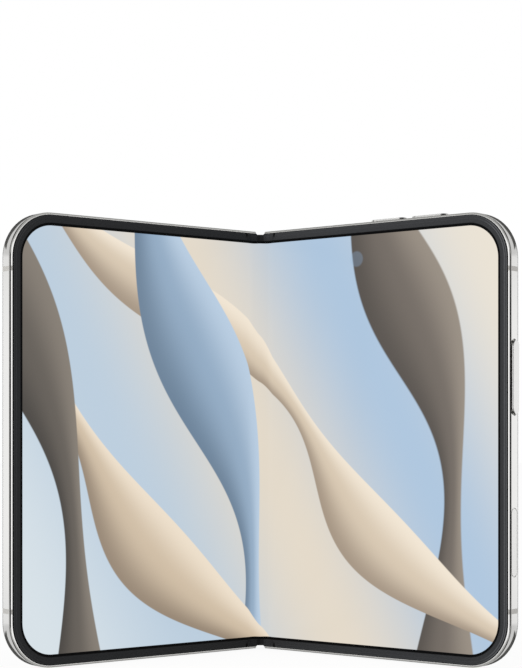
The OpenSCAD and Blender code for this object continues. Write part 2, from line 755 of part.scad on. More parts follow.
module right_frame() color(silver)
  on_half(1) difference() {
    frame_shell();
    at_side_button(power_z) recessed_opening(power_l);
    at_side_button(capture_z) button_opening(capture_l);
    for (s = [-1, 1]) at_top_button(volume_x + s * volume_step) recessed_opening(volume_l);
    through_bottom(port_x) rotate(90) capsule(port_w + 2 * port_wall, port_h + 2 * port_wall);
    for (i = [0:speaker_holes - 1]) through_bottom(speaker_x + i * speaker_pitch) circle(r = speaker_hole_r);
    through_bottom(port_x - mic_step) circle(r = mic_r);
  }

// Cuts a section up through the lower edge of the frame
module through_bottom(x)
  translate([x, -through, -port_depth]) rotate([-90, 0, 0])
    linear_extrude(frame_wall + 2 * through) children();

module right_antenna_bands() on_half(1) antenna_bands();
module right_midplate() on_half(1) difference() {
  midplate();
  // Room for the charging port
  slab(port_x - port_room, port_x + port_room, 0, port_l + bay_gap, 0, body_t);
}
module right_display() on_half(1) display_panel();
module right_bezel() on_half(1) bezel();
module right_battery() on_half(1) battery(right_battery_y0, right_battery_h, bay_back);
module right_hinge_arms() on_half(1) hinge_arms();
module right_hinge_screws() on_half(1) hinge_screws();
module main_board() on_half(1) board(board_y0, board_h);
module board_shields() on_half(1) shields(3, board_y0, board_h);
module back_glass() color([0.86, 0.85, 0.82]) on_half(1) difference() {
  glass_sheet(rail_end + seam);
  for (s = [-1, 1]) disc(island_x + s * lens_step, island_y, lens_r, 0, body_t + through);
  disc(island_x, island_y, flash_r, 0, body_t + through);
}

module under_display_camera() color([0.08, 0.08, 0.1])
  on_half(1) {
    camera_base_at(under_camera_x, under_camera_y);
    disc(under_camera_x, under_camera_y, small_camera_r,
         mid_back + small_part_t - seam, mid_back + small_part_t + 0.6);
  }

module button_switches() color([0.75, 0.6, 0.3])
  on_half(1) {
    at_side_button(power_z) button_switch();
    at_side_button(capture_z) button_switch();
    for (s = [-1, 1]) at_top_button(volume_x + s * volume_step) button_switch();
  }

module usb_c_shell() color([0.6, 0.6, 0.62])
  on_half(1) translate([port_x, seam, -port_depth]) rotate([-90, 90, 0]) difference() {
    linear_extrude(port_l) capsule(port_w + 2 * port_wall - 2 * seam, port_h + 2 * port_wall - 2 * seam);
    translate([0, 0, -through]) linear_extrude(port_l + through - port_wall) capsule(port_w, port_h);
  }

module usb_c_tongue() color([0.15, 0.15, 0.15])
  on_half(1) slab(port_x - tongue_w / 2, port_x + tongue_w / 2,
                  seam + tongue_inset, port_l + seam - port_wall,
                  port_depth - tongue_t / 2, port_depth + tongue_t / 2);

// Spans the row of holes in the lower edge, below the battery
module loudspeaker() color([0.18, 0.18, 0.18])
  on_half(1) slab(speaker_x - part_gap, speaker_x + speaker_holes * speaker_pitch + part_gap,
                  inner_y0 + part_gap, right_battery_y0 - part_gap, mid_back, bay_back - bay_gap);

module vibration_motor() color([0.72, 0.72, 0.74])
  on_half(1) disc(battery_x1 + motor_r + 2 * part_gap, capture_z, motor_r, mid_back, bay_back - bay_gap);

module charging_coil() color([0.75, 0.42, 0.2])
  on_half(1) translate([coil_x, coil_y, -glass_front]) difference() {
    cylinder(r = coil_r, h = coil_t);
    translate([0, 0, -through]) cylinder(r = coil_r - coil_band, h = coil_t + 2 * through);
  }

module camera_island() color(silver)
  on_half(1) translate([island_x, island_y, -body_t - island_t]) difference() {
    edge = 0.3;
    union() {
      linear_extrude(island_t) rotate(90) capsule(island_l - 2 * edge, island_w - 2 * edge);
      translate([0, 0, edge]) linear_extrude(island_t - edge) rotate(90) capsule(island_l, island_w);
    }
    for (s = [-1, 1])
      translate([s * lens_step, 0, -through]) cylinder(r = lens_r, h = island_t + 2 * through);
    translate([0, 0, -through]) cylinder(r = flash_r, h = island_t + 2 * through);
  }

module camera_modules() color([0.1, 0.1, 0.12])
  on_half(1) for (s = [-1, 1]) {
    x = island_x + s * lens_step;
    slab(x - camera_side / 2, x + camera_side / 2, island_y - camera_side / 2,
         island_y + camera_side / 2, mid_back, glass_front - bay_gap);
    disc(x, island_y, barrel_r, glass_front - bay_gap - seam, glass_back - bay_gap);
  }

module lens_rings() color([0.5, 0.5, 0.5])
  on_half(1) for (s = [-1, 1])
    translate([island_x + s * lens_step, island_y, -island_back - ring_rise])
      difference() {
        cylinder(r = ring_r, h = ring_rise);
        translate([0, 0, -through]) cylinder(r = lens_r, h = ring_rise + 2 * through);
      }

module lens_glasses() color([0.03, 0.03, 0.05])
  on_half(1) for (s = [-1, 1])
    disc(island_x + s * lens_step, island_y, lens_r - seam, glass_back, glass_back + lens_t);

module flash_window() color([0.95, 0.93, 0.8])
  on_half(1) disc(island_x, island_y, flash_r - seam, body_t, island_back + seam);

module power_button() color(silver) on_half(1) at_side_button(power_z) button_body(power_l, power_proud);
module capture_button() color(silver) on_half(1) at_side_button(capture_z) button_body(capture_l, seam);
module volume_down_button() color(silver)
  on_half(1) at_top_button(volume_x - volume_step) button_body(volume_l, volume_proud);
module volume_up_button() color(silver)
  on_half(1) at_top_button(volume_x + volume_step) button_body(volume_l, volume_proud);

spine_cover();
spine_end_caps();
hinge_brackets();
fold_pins();
idler_pins();
friction_discs();
display_fold_strip();
bezel_fold_strips();
hinge_flex_cable();
left_idler_gears();
right_idler_gears();
left_frame();
left_antenna_bands();
left_midplate();
left_display();
left_bezel();
left_battery();
left_hinge_arms();
left_fold_gears();
left_hinge_screws();
left_board();
left_board_shields();
earpiece();
cover_camera();
cover_panel();
cover_glass();
right_frame();
right_antenna_bands();
right_midplate();
right_display();
right_bezel();
right_battery();
right_hinge_arms();
right_fold_gears();
right_hinge_screws();
main_board();
board_shields();
under_display_camera();
button_switches();
usb_c_shell();
usb_c_tongue();
loudspeaker();
vibration_motor();
charging_coil();
back_glass();
camera_island();
camera_modules();
lens_rings();
lens_glasses();
flash_window();
power_button();
capture_button();
volume_up_button();
volume_down_button();
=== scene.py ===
"""Dresses the foldable phone: polished frame, soft bezels, a lit display that bends, glass and lenses.

Every length is in metres, in the row frame: +Z up along the fold, the inner display facing -Y. A new piece
on a half is modelled as the phone lies open flat, and Fold.settle() then turns it to its place at rest.
"""
import json
import logging
import math
from contextlib import contextmanager
from dataclasses import dataclass
from enum import Enum
from typing import Callable, Iterator, Sequence

import bmesh
import bpy
from mathutils import Matrix, Vector


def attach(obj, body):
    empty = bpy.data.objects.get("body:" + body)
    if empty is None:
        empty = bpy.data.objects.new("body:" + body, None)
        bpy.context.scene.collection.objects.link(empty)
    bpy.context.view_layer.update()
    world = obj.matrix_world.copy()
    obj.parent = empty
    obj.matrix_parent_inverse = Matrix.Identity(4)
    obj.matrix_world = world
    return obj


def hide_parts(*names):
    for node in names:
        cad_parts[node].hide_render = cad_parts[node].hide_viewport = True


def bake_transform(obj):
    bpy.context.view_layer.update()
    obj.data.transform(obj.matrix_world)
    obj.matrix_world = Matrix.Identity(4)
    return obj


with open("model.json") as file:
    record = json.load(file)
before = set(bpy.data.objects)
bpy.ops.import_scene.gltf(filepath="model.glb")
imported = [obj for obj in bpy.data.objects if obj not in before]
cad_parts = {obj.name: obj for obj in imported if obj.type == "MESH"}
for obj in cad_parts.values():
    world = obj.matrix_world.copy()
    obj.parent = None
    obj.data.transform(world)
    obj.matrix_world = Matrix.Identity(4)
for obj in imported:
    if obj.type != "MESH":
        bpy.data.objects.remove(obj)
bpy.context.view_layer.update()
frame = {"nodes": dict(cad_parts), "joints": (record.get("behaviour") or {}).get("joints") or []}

log = logging.getLogger("foldable_phone")
MM = 0.001
Colour = tuple[float, float, float]
Span = tuple[float, float]

# The lit picture on the phone laid flat: its middle height, half its width and height, and its corners.
PICTURE_MIDDLE = 60.35 * MM
PICTURE_HALF_WIDTH = 80.4 * MM
PICTURE_HALF_HEIGHT = 56.95 * MM
PICTURE_CORNER = 9.1 * MM


class Side(Enum):
    """The two halves of the phone, as the sign of their X."""

    LEFT = -1
    RIGHT = 1

    @property
    def body(self) -> str:
        """Name of the body that the half rides on."""
        return "left_half" if self is Side.LEFT else "right_half"

    @property
    def word(self) -> str:
        """The side's name, for piece names."""
        return "left" if self is Side.LEFT else "right"


# ---- Geometry of the fold ----


@dataclass(frozen=True)
class Fold:
    """Where the two fold axes stand and how far each half is folded at rest.

    Args:
        axis_x: Distance of each fold axis from the middle plane.
        axis_y: Place of both axes along Y.
        angle: Angle of each half from flat, in radians.
        face_y: Front of the display, with the phone open flat.
        zone: Half the width of the stretch that bends, laid flat.
        halvings: Steps in which the share of the fold is closed in on.
    """

    axis_x: float
    axis_y: float
    angle: float
    face_y: float
    zone: float = 6.0 * MM
    halvings: int = 40

    @classmethod
    def from_frame(cls) -> "Fold":
        """Reads the fold from the frame's joints and from the right display's place.

        Returns:
            The fold.
        """
        joint = next(j for j in frame["joints"] if j["name"] == "right_fold")
        angle = -math.radians(joint["range_deg"][0]) if "range_deg" in joint else -joint["range"][0]
        x, y, _ = joint["pos_m"]
        bare = cls(x, y, angle, 0.0)
        low, _ = bare.flat_box("right_display", Side.RIGHT)
        return cls(x, y, angle, low.y)

    def matrix(self, side: Side, share: float = 1.0) -> Matrix:
        """Turns a point of the flat phone to its place at rest.

        Args:
            side: The half that the point is on.
            share: How much of the fold the point follows, from 0 to 1.

        Returns:
            The matrix of that turn.
        """
        axis = Vector((side.value * self.axis_x, self.axis_y, 0))
        turn = Matrix.Rotation(-side.value * self.angle * share, 4, "Z")
        return Matrix.Translation(axis) @ turn @ Matrix.Translation(-axis)

    def flat_box(self, node: str, side: Side) -> tuple[Vector, Vector]:
        """Measures a CAD node with the phone opened flat.

        Args:
            node: The node's name.
            side: The half that it is on.

        Returns:
            Its lowest and its highest corner.
        """
        back = self.matrix(side).inverted()
        points = [back @ v.co for v in frame["nodes"][node].data.vertices]
        low = Vector([min(p[i] for p in points) for i in range(3)])
        high = Vector([max(p[i] for p in points) for i in range(3)])
        return low, high

    @property
    def bend_end(self) -> float:
        """World X of the display's face where the bending stretch ends, at rest.

        Returns:
            That X on the right half; the left half's is the same below 0.
        """
        reach = self.zone - self.axis_x
        depth = self.face_y - self.axis_y
        return self.axis_x + reach * math.cos(self.angle) + depth * math.sin(self.angle)

    def share_at(self, side: Side, point: Vector) -> float:
        """Solves how far a point of a bending piece follows the fold, so that it lies flat as the phone does.

        Args:
            side: The half that the point is on.
            point: Its place on the flat phone.

        Returns:
            Its share of the fold, from 0 at the spine to 1 on the half.
        """
        low, high = 0.0, 1.0
        for _ in range(self.halvings):
            middle = (low + high) / 2
            x = side.value * (self.matrix(side, middle) @ point).x
            t = min(max(x / self.bend_end, 0.0), 1.0)
            if middle < t * t * (3 - 2 * t):
                low = middle
            else:
                high = middle
        return high if high < 1 else 1.0

    def settle(self, piece: bpy.types.Object, side: Side, bends: bool = False) -> None:
        """Moves a piece from the flat phone to its place at rest.

        Args:
            piece: The object, whose mesh is in the flat phone's place.
            side: The half that it is on.
            bends: True if it crosses the fold and follows its curve.
        """
        if not bends:
            piece.data.transform(self.matrix(side))
        else:
            for vertex in piece.data.vertices:
                share = self.share_at(side, vertex.co)
                vertex.co = self.matrix(side, share) @ vertex.co
        piece.data.update()

    def bend(self, piece: bpy.types.Object, side: Side) -> None:
        """Moves a settled piece's place into its mesh."""
        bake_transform(piece)


# ---- Modelling by hand ----


class Bench:
    """The modelling steps that the sub-assemblies share."""

    @staticmethod
    def clear() -> None:
        """Deselects every object."""
        for other in bpy.context.selected_objects:
            other.select_set(False)

    @staticmethod
    def alone(piece: bpy.types.Object) -> None:
        """Selects one object only and makes it active.

        Args:
            piece: The object.
        """
        Bench.clear()
        piece.select_set(True)
        bpy.context.view_layer.objects.active = piece

    @staticmethod
    @contextmanager
    def editing(piece: bpy.types.Object) -> Iterator[None]:
        """Opens a piece in edit mode, for its edges, with nothing selected.

        Args:
            piece: The object to edit.

        Yields:
            Nothing; the piece leaves edit mode afterwards.
        """
        Bench.alone(piece)
        bpy.ops.object.mode_set(mode="EDIT")
        bpy.ops.mesh.select_mode(type="EDGE")
        bpy.ops.mesh.select_all(action="DESELECT")
        yield
        bpy.ops.object.mode_set(mode="OBJECT")

    @staticmethod
    def pick(piece: bpy.types.Object, wanted: Callable[[Vector, Vector], bool]) -> None:
        """Selects edges by their middle and direction.

        Args:
            piece: The object that is in edit mode.
            wanted: Says whether an edge is selected, from its middle and its direction.
        """
        mesh = bmesh.from_edit_mesh(piece.data)
        for edge in mesh.edges:
            a, b = (v.co for v in edge.verts)
            edge.select_set(wanted((a + b) / 2, (b - a).normalized()))
        mesh.select_flush_mode()
        bmesh.update_edit_mesh(piece.data)

    @staticmethod
    def block(name: str, low: Sequence[float], high: Sequence[float]) -> bpy.types.Object:
        """Adds a box, with its place in its mesh.

        Args:
            name: The piece's name.
            low: Its lowest corner.
            high: Its highest corner.

        Returns:
            The box.
        """
        Bench.clear()
        middle = [(a + b) / 2 for a, b in zip(low, high)]
        bpy.ops.mesh.primitive_cube_add(size=1, location=middle)
        piece = bpy.context.active_object
        piece.name = piece.data.name = name
        piece.scale = [b - a for a, b in zip(low, high)]
        Bench.apply_place(piece)
        return piece

    @staticmethod
    def drum(name: str, centre: Sequence[float], radius: float, depth: float,
             corners: int) -> bpy.types.Object:
        """Adds an upright cylinder, with its place in its mesh.

        Args:
            name: The piece's name.
            centre: Its middle.
            radius: Its radius.
            depth: Its height.
            corners: Number of its sides.

        Returns:
            The cylinder.
        """
        Bench.clear()
        bpy.ops.mesh.primitive_cylinder_add(vertices=corners, radius=radius, depth=depth, location=centre)
        piece = bpy.context.active_object
        piece.name = piece.data.name = name
        Bench.apply_place(piece)
        return piece

    @staticmethod
    def apply_place(piece: bpy.types.Object) -> None:
        """Moves an object's place, turn and scale into its mesh."""
        Bench.alone(piece)
        bpy.ops.object.transform_apply(location=True, rotation=True, scale=True)

    @staticmethod
    def cut(piece: bpy.types.Object, place: Sequence[float], normal: Sequence[float]) -> None:
        """Cuts a ring of edges round a piece where a plane passes.

        Args:
            piece: The piece.
            place: A point on the plane.
            normal: The plane's normal.
        """
        with Bench.editing(piece):
            bpy.ops.mesh.select_all(action="SELECT")
            bpy.ops.mesh.bisect(plane_co=place, plane_no=normal)

    @staticmethod
    def round_edges(piece: bpy.types.Object, radius: float, steps: int,
                    wanted: Callable[[Vector, Vector], bool]) -> None:
        """Bevels some edges of a piece.

        Args:
            piece: The piece.
            radius: The bevel's width.
            steps: Its segments.
            wanted: Says whether an edge is bevelled, from its middle and its direction.
        """
        with Bench.editing(piece):
            Bench.pick(piece, wanted)
            bpy.ops.mesh.bevel(offset=radius, segments=steps, profile=0.5, affect="EDGES")

    @staticmethod
    def repeat(piece: bpy.types.Object, count: int, step: Sequence[float]) -> None:
        """Repeats a piece's shape in a row, as an array modifier that is applied.

        Args:
            piece: The piece.
            count: How many there are in the row.
            step: The way from one to the next.
        """
        Bench.alone(piece)
        row = piece.modifiers.new("row", "ARRAY")
        row.count, row.use_relative_offset, row.use_constant_offset = count, False, True
        row.constant_offset_displace = step
        bpy.ops.object.modifier_apply(modifier=row.name)

    @staticmethod
    def join(name: str, pieces: Sequence[bpy.types.Object]) -> bpy.types.Object:
        """Joins pieces into the first of them.

        Args:
            name: The new name.
            pieces: The pieces.

        Returns:
            The joined piece.
        """
        Bench.clear()
        for piece in pieces:
            piece.select_set(True)
        bpy.context.view_layer.objects.active = pieces[0]
        bpy.ops.object.join()
        pieces[0].name = pieces[0].data.name = name
        return pieces[0]

    @staticmethod
    def smooth(piece: bpy.types.Object, degrees: float = 35.0) -> None:
        """Shades a piece smooth, with edges sharper than an angle kept."""
        Bench.alone(piece)
        bpy.ops.object.shade_smooth_by_angle(angle=math.radians(degrees))

    @staticmethod
    def dress(piece: bpy.types.Object, finish: bpy.types.Material) -> None:
        """Gives a whole piece one material."""
        piece.data.materials.clear()
        piece.data.materials.append(finish)


# ---- Materials ----


class NodeSheet:
    """Adds and links the nodes of one material or node group."""

    def __init__(self, tree: bpy.types.NodeTree) -> None:
        """Starts on a tree that has no nodes yet."""
        self.tree = tree

    def add(self, kind: str, **values: object) -> bpy.types.Node:
        """Adds a node.

        Args:
            kind: The node's type name, without its ShaderNode prefix.
            **values: Properties by name; a name in capitals first is an input socket's.

        Returns:
            The node.
        """
        prefix = "" if kind.startswith("NodeGroup") else "ShaderNode"
        node = self.tree.nodes.new(prefix + kind)
        for key, value in values.items():
            setattr(node, key, value)
        return node

    def put(self, node: bpy.types.Node, **inputs: object) -> bpy.types.Node:
        """Sets inputs of a node to values, or links them to other nodes' outputs.

        Args:
            node: The node.
            **inputs: Values or sockets by the input's name, with _ for a space, or by _ and its number.

        Returns:
            The same node.
        """
        for key, value in inputs.items():
            name = int(key[1:]) if key[0] == "_" else key.replace("_", " ")
            socket = node.inputs[name]
            if isinstance(value, bpy.types.NodeSocket):
                self.tree.links.new(value, socket)
            else:
                socket.default_value = value
        return node

    def group(self, tree: bpy.types.NodeTree, **inputs: object) -> bpy.types.NodeOutputs:
        """Places a shared group with its inputs, and gives its outputs."""
        return self.put(self.add("Group", node_tree=tree), **inputs).outputs

    def split(self, vector: object) -> bpy.types.NodeOutputs:
        """Takes a vector apart into its three numbers."""
        return self.put(self.add("SeparateXYZ"), Vector=vector).outputs

    def math(self, operation: str, a: object, b: object = 0.0, clamp: bool = False) -> bpy.types.NodeSocket:
        """One step of arithmetic on numbers."""
        return self.put(self.add("Math", operation=operation, use_clamp=clamp), _0=a, _1=b).outputs[0]

    def vector(self, operation: str, a: object, **others: object) -> bpy.types.NodeSocket:
        """One step of arithmetic on vectors, which gives a vector or a number.

        Args:
            operation: The step.
            a: The first vector.
            **others: The node's other inputs, as put() takes them.

        Returns:
            The result.
        """
        node = self.put(self.add("VectorMath", operation=operation), _0=a, **others)
        return node.outputs["Value" if operation in ("LENGTH", "DISTANCE", "DOT_PRODUCT") else "Vector"]

    def to_world(self, vector: object) -> bpy.types.NodeSocket:
        """Turns a direction from object to world space."""
        return self.put(self.add("VectorTransform", vector_type="VECTOR", convert_from="OBJECT",
                                 convert_to="WORLD"), Vector=vector).outputs[0]

    def reach(self, x: object, y: object) -> bpy.types.NodeSocket:
        """Length of a way that is given by its two parts."""
        return self.vector("LENGTH", self.put(self.add("CombineXYZ"), X=x, Y=y).outputs[0])

    def scaled(self, a: object, low: float, high: object, to_low: float, to_high: float,
               smooth: bool = True) -> bpy.types.NodeSocket:
        """Maps a number from one range to another, held at the ends.

        Args:
            a: The number.
            low: Where the range starts.
            high: Where it ends.
            to_low: The result at its start.
            to_high: The result at its end.
            smooth: True to ease in and out.

        Returns:
            The mapped number.
        """
        node = self.add("MapRange", interpolation_type="SMOOTHSTEP" if smooth else "LINEAR")
        self.put(node, Value=a, From_Min=low, From_Max=high, To_Min=to_low, To_Max=to_high)
        return node.outputs[0]

    def mix(self, share: object, a: object, b: object) -> bpy.types.NodeSocket:
        """Mixes two colours by a share from 0 to 1."""
        return self.put(self.add("Mix", data_type="RGBA"), _0=share, _6=a, _7=b).outputs[2]

    def rings(self, share: object, zones: Sequence[tuple[float, Colour]], soft: float,
              colour: object) -> object:
        """Paints rings, from the outermost inwards.

        Args:
            share: Distance from the rings' middle, as a share of their radius.
            zones: Share of the radius where each ring begins, and its colour.
            soft: Softness of a ring's edge, as a share of the radius.
            colour: The colour outside the rings.

        Returns:
            The colour with the rings.
        """
        for start, tone in zones:
            colour = self.mix(self.scaled(share, start + soft, start - soft, 0, 1), colour, rgba(tone))
        return colour


def rgba(colour: Colour) -> tuple[float, float, float, float]:
    """A colour with full opacity."""
    return (*colour, 1.0)


def srgb(red: int, green: int, blue: int) -> Colour:
    """Makes a linear colour from the values that a screen shows.

    Args:
        red: The red value, from 0 to 255.
        green: The green value.
        blue: The blue value.

    Returns:
        The linear colour.
    """
    def linear(value: int) -> float:
        """One channel, by the sRGB curve."""
        share = value / 255
        return share / 12.92 if share <= 0.04045 else ((share + 0.055) / 1.055) ** 2.4

    return linear(red), linear(green), linear(blue)


def new_group(name: str, inputs: dict[str, tuple[str, object]], outputs: dict[str, str]) -> tuple:
    """Makes an empty shader node group.

    Args:
        name: The group's name.
        inputs: Socket type and default value by socket name.
        outputs: Socket type by socket name.

    Returns:
        The group, its NodeSheet, its input node and its output node.
    """
    group = bpy.data.node_groups.new(name, "ShaderNodeTree")
    for label, (kind, value) in inputs.items():
        socket = group.interface.new_socket(label, in_out="INPUT", socket_type="NodeSocket" + kind)
        if value is not None:
            socket.default_value = value
    for label, kind in outputs.items():
        group.interface.new_socket(label, in_out="OUTPUT", socket_type="NodeSocket" + kind)
    sheet = NodeSheet(group)
    return group, sheet, sheet.add("NodeGroupInput"), sheet.add("NodeGroupOutput")


def make_handling_group() -> bpy.types.NodeTree:
    """Builds the small unevenness that any handled surface has.

    Returns:
        A group that puts out a colour, a roughness and a height over the surface.
    """
    group, sheet, into, out = new_group(
        "handling",
        {"Vector": ("Vector", None), "Colour": ("Color", (0.5, 0.5, 0.5, 1)), "Roughness": ("Float", 0.3),
         "Scale": ("Float", 300.0), "Tint": ("Float", 0.05), "Smudge": ("Float", 0.05)},
        {"Colour": "Color", "Roughness": "Float", "Height": "Float"})
    get = into.outputs
    cloud = sheet.put(sheet.add("TexNoise"), Vector=get["Vector"], Scale=55.0, Detail=3.0, Roughness=0.6)
    grain = sheet.put(sheet.add("TexNoise"), Vector=get["Vector"], Scale=get["Scale"], Detail=5.0,
                      Roughness=0.7)
    drift = sheet.math("SUBTRACT", cloud.outputs[0], 0.5)
    speck = sheet.math("SUBTRACT", grain.outputs[0], 0.5)
    shade = sheet.math("ADD", 1.0, sheet.math("MULTIPLY", sheet.math("ADD", drift, speck), get["Tint"]))
    worn = sheet.math("MULTIPLY", sheet.math("ADD", drift, sheet.math("MULTIPLY", speck, 0.5)), get["Smudge"])
    sheet.put(out, Colour=sheet.vector("SCALE", get["Colour"], Scale=shade), Height=grain.outputs[0],
              Roughness=sheet.math("ADD", get["Roughness"], worn, clamp=True))
    return group


def make_brushed_group() -> bpy.types.NodeTree:
    """Builds fine machining lines that run along the phone's height.

    Returns:
        A group that puts out a mask of the lines.
    """
    group, sheet, into, out = new_group(
        "machined_lines", {"Vector": ("Vector", None), "Fineness": ("Float", 9000.0)}, {"Lines": "Float"})
    place = sheet.put(sheet.add("Mapping"), Vector=into.outputs["Vector"], Scale=(1.0, 1.0, 0.02)).outputs[0]
    lines = sheet.put(sheet.add("TexNoise"), Vector=place, Scale=into.outputs["Fineness"], Detail=2.0)
    sheet.put(out, Lines=lines.outputs[0])
    return group


def make_flat_group(fold: Fold) -> bpy.types.NodeTree:
    """Builds the place of a point with the phone laid flat, the same for both halves.

    Args:
        fold: Geometry of the fold.

    Returns:
        A group that takes object coordinates and puts out the distance from the fold, the depth behind the
        display's face, the height, the half's sign and the direction to the back.
    """
    group, sheet, into, out = new_group(
        "flat_place", {"Vector": ("Vector", None)},
        {"Across": "Float", "Depth": "Float", "Up": "Float", "Side": "Float", "Back": "Vector"})
    x, y, z = sheet.split(into.outputs["Vector"])
    right = sheet.put(sheet.add("CombineXYZ"), X=sheet.math("ABSOLUTE", x), Y=y, Z=z)
    turn = sheet.put(
        sheet.add("VectorRotate", rotation_type="Z_AXIS"), Vector=right.outputs[0],
        Center=(fold.axis_x, fold.axis_y, 0), Angle=fold.angle)
    across, depth, up = sheet.split(turn.outputs[0])
    side = sheet.math("SIGN", x)
    back = sheet.put(sheet.add("CombineXYZ"), X=sheet.math("MULTIPLY", side, math.sin(fold.angle)),
                     Y=math.cos(fold.angle), Z=0.0)
    sheet.put(out, Across=across, Depth=sheet.math("SUBTRACT", depth, fold.face_y), Up=up, Side=side,
              Back=sheet.to_world(back.outputs[0]))
    return group


def make_outline_group() -> bpy.types.NodeTree:
    """Builds the distance from the lit picture's rounded outline, which is more than 0 outside it.

    Returns:
        A group that takes the distance from the fold and the height from the middle.
    """
    group, sheet, into, out = new_group(
        "picture_outline",
        {"Across": ("Float", 0.0), "Up": ("Float", 0.0), "Half Width": ("Float", PICTURE_HALF_WIDTH),
         "Half Height": ("Float", PICTURE_HALF_HEIGHT), "Radius": ("Float", PICTURE_CORNER)},
        {"Distance": "Float"})
    get = into.outputs
    sides = []
    for place, half in ((get["Across"], get["Half Width"]), (get["Up"], get["Half Height"])):
        sides.append(sheet.math("SUBTRACT", sheet.math("ABSOLUTE", place),
                                sheet.math("SUBTRACT", half, get["Radius"])))
    outside = sheet.reach(*(sheet.math("MAXIMUM", side, 0.0) for side in sides))
    inside = sheet.math("MINIMUM", sheet.math("MAXIMUM", *sides), 0.0)
    sheet.put(out, Distance=sheet.math("SUBTRACT", sheet.math("ADD", outside, inside), get["Radius"]))
    return group


def make_corner_group(flat: bpy.types.NodeTree, fold: Fold, half: Span, radius: float) -> bpy.types.NodeTree:
    """Builds the true round of the frame's outer corners, where the mesh has flat facets.

    Args:
        flat: The group that lays the phone flat.
        fold: Geometry of the fold.
        half: Width of a half from the fold, and half of its height.
        radius: Radius of its outer corners.

    Returns:
        A group that takes object coordinates and a normal, and puts out the normal of the true outline.
    """
    group, sheet, into, out = new_group(
        "round_corners", {"Vector": ("Vector", None), "Normal": ("Vector", None)}, {"Normal": "Vector"})
    place = sheet.group(flat, Vector=into.outputs["Vector"])
    back, given = place["Back"], into.outputs["Normal"]
    up = sheet.math("SUBTRACT", place["Up"], PICTURE_MIDDLE)
    beyond = sheet.math("MAXIMUM", sheet.math("SUBTRACT", place["Across"], half[0] - radius), 0.0)
    above = sheet.math("MAXIMUM", sheet.math("SUBTRACT", sheet.math("ABSOLUTE", up), half[1] - radius), 0.0)
    way = sheet.put(
        sheet.add("CombineXYZ"), Z=sheet.math("MULTIPLY", above, sheet.math("SIGN", up)),
        X=sheet.math("MULTIPLY", beyond, sheet.math("MULTIPLY", place["Side"], math.cos(fold.angle))),
        Y=sheet.math("MULTIPLY", beyond, -math.sin(fold.angle)))
    outward = sheet.vector("NORMALIZE", sheet.to_world(way.outputs[0]))
    lean = sheet.vector("DOT_PRODUCT", given, _1=back)
    level = sheet.math("SQRT", sheet.math("SUBTRACT", 1.0, sheet.math("MULTIPLY", lean, lean)))
    true = sheet.vector("ADD", sheet.vector("SCALE", outward, Scale=level),
                        _1=sheet.vector("SCALE", back, Scale=lean))
    along = sheet.vector("DOT_PRODUCT", given, _1=outward)
    outer = sheet.math("GREATER_THAN", along, sheet.math("ADD", sheet.math("MULTIPLY", level, 0.9), 0.01))
    mixed = sheet.put(sheet.add("Mix", data_type="VECTOR"), _0=outer, _4=given, _5=true)
    sheet.put(out, Normal=mixed.outputs[1])
    return group


@dataclass(frozen=True)
class LeanStep:
    """A change in how far the frame's section leans to the back.

    Args:
        start: Depth behind the display's face where it starts, in millimetres.
        end: Depth where it is complete, in millimetres.
        lean: What it adds to the lean.
        widens: True if it lies deeper in the corners, where the land is wider.
    """

    start: float
    end: float
    lean: float
    widens: bool = True


CROWN_STEPS = (LeanStep(0.68, 0.60, -0.10), LeanStep(0.345, 0.335, -0.35), LeanStep(0.03, 0.022, -12.0),
               LeanStep(3.70, 3.90, 0.11, widens=False))


def make_crown_group(flat: bpy.types.NodeTree, half: Span, radius: float) -> bpy.types.NodeTree:
    """Builds the frame's polished section: a flat land beside the bezel, and slightly crowned flanks.

    Args:
        flat: The group that lays the phone flat.
        half: Width of a half from the fold, and half of its height.
        radius: Radius of its outer corners, where the land is wider.

    Returns:
        A group that takes object coordinates and a normal, and puts out the crowned normal.
    """
    group, sheet, into, out = new_group(
        "flank_crown", {"Vector": ("Vector", None), "Normal": ("Vector", None)}, {"Normal": "Vector"})
    place = sheet.group(flat, Vector=into.outputs["Vector"])
    depth = place["Depth"]
    lean = sheet.scaled(depth, 0.60 * MM, 4.40 * MM, -0.12, 0.27, smooth=False)
    up = sheet.math("ABSOLUTE", sheet.math("SUBTRACT", place["Up"], PICTURE_MIDDLE))
    corner = sheet.math("MINIMUM", sheet.math("SUBTRACT", place["Across"], half[0] - radius),
                        sheet.math("SUBTRACT", up, half[1] - radius))
    front = sheet.math("SUBTRACT", depth, sheet.scaled(corner, 0.5 * MM, 5.0 * MM, 0, 0.20 * MM))
    for step in CROWN_STEPS:
        more = sheet.scaled(front if step.widens else depth, step.start * MM, step.end * MM, 0.0, step.lean)
        lean = sheet.math("ADD", lean, more)
    push = sheet.vector("SCALE", place["Back"], Scale=lean)
    sheet.put(out, Normal=sheet.vector("NORMALIZE", sheet.vector("ADD", into.outputs["Normal"], _1=push)))
    return group


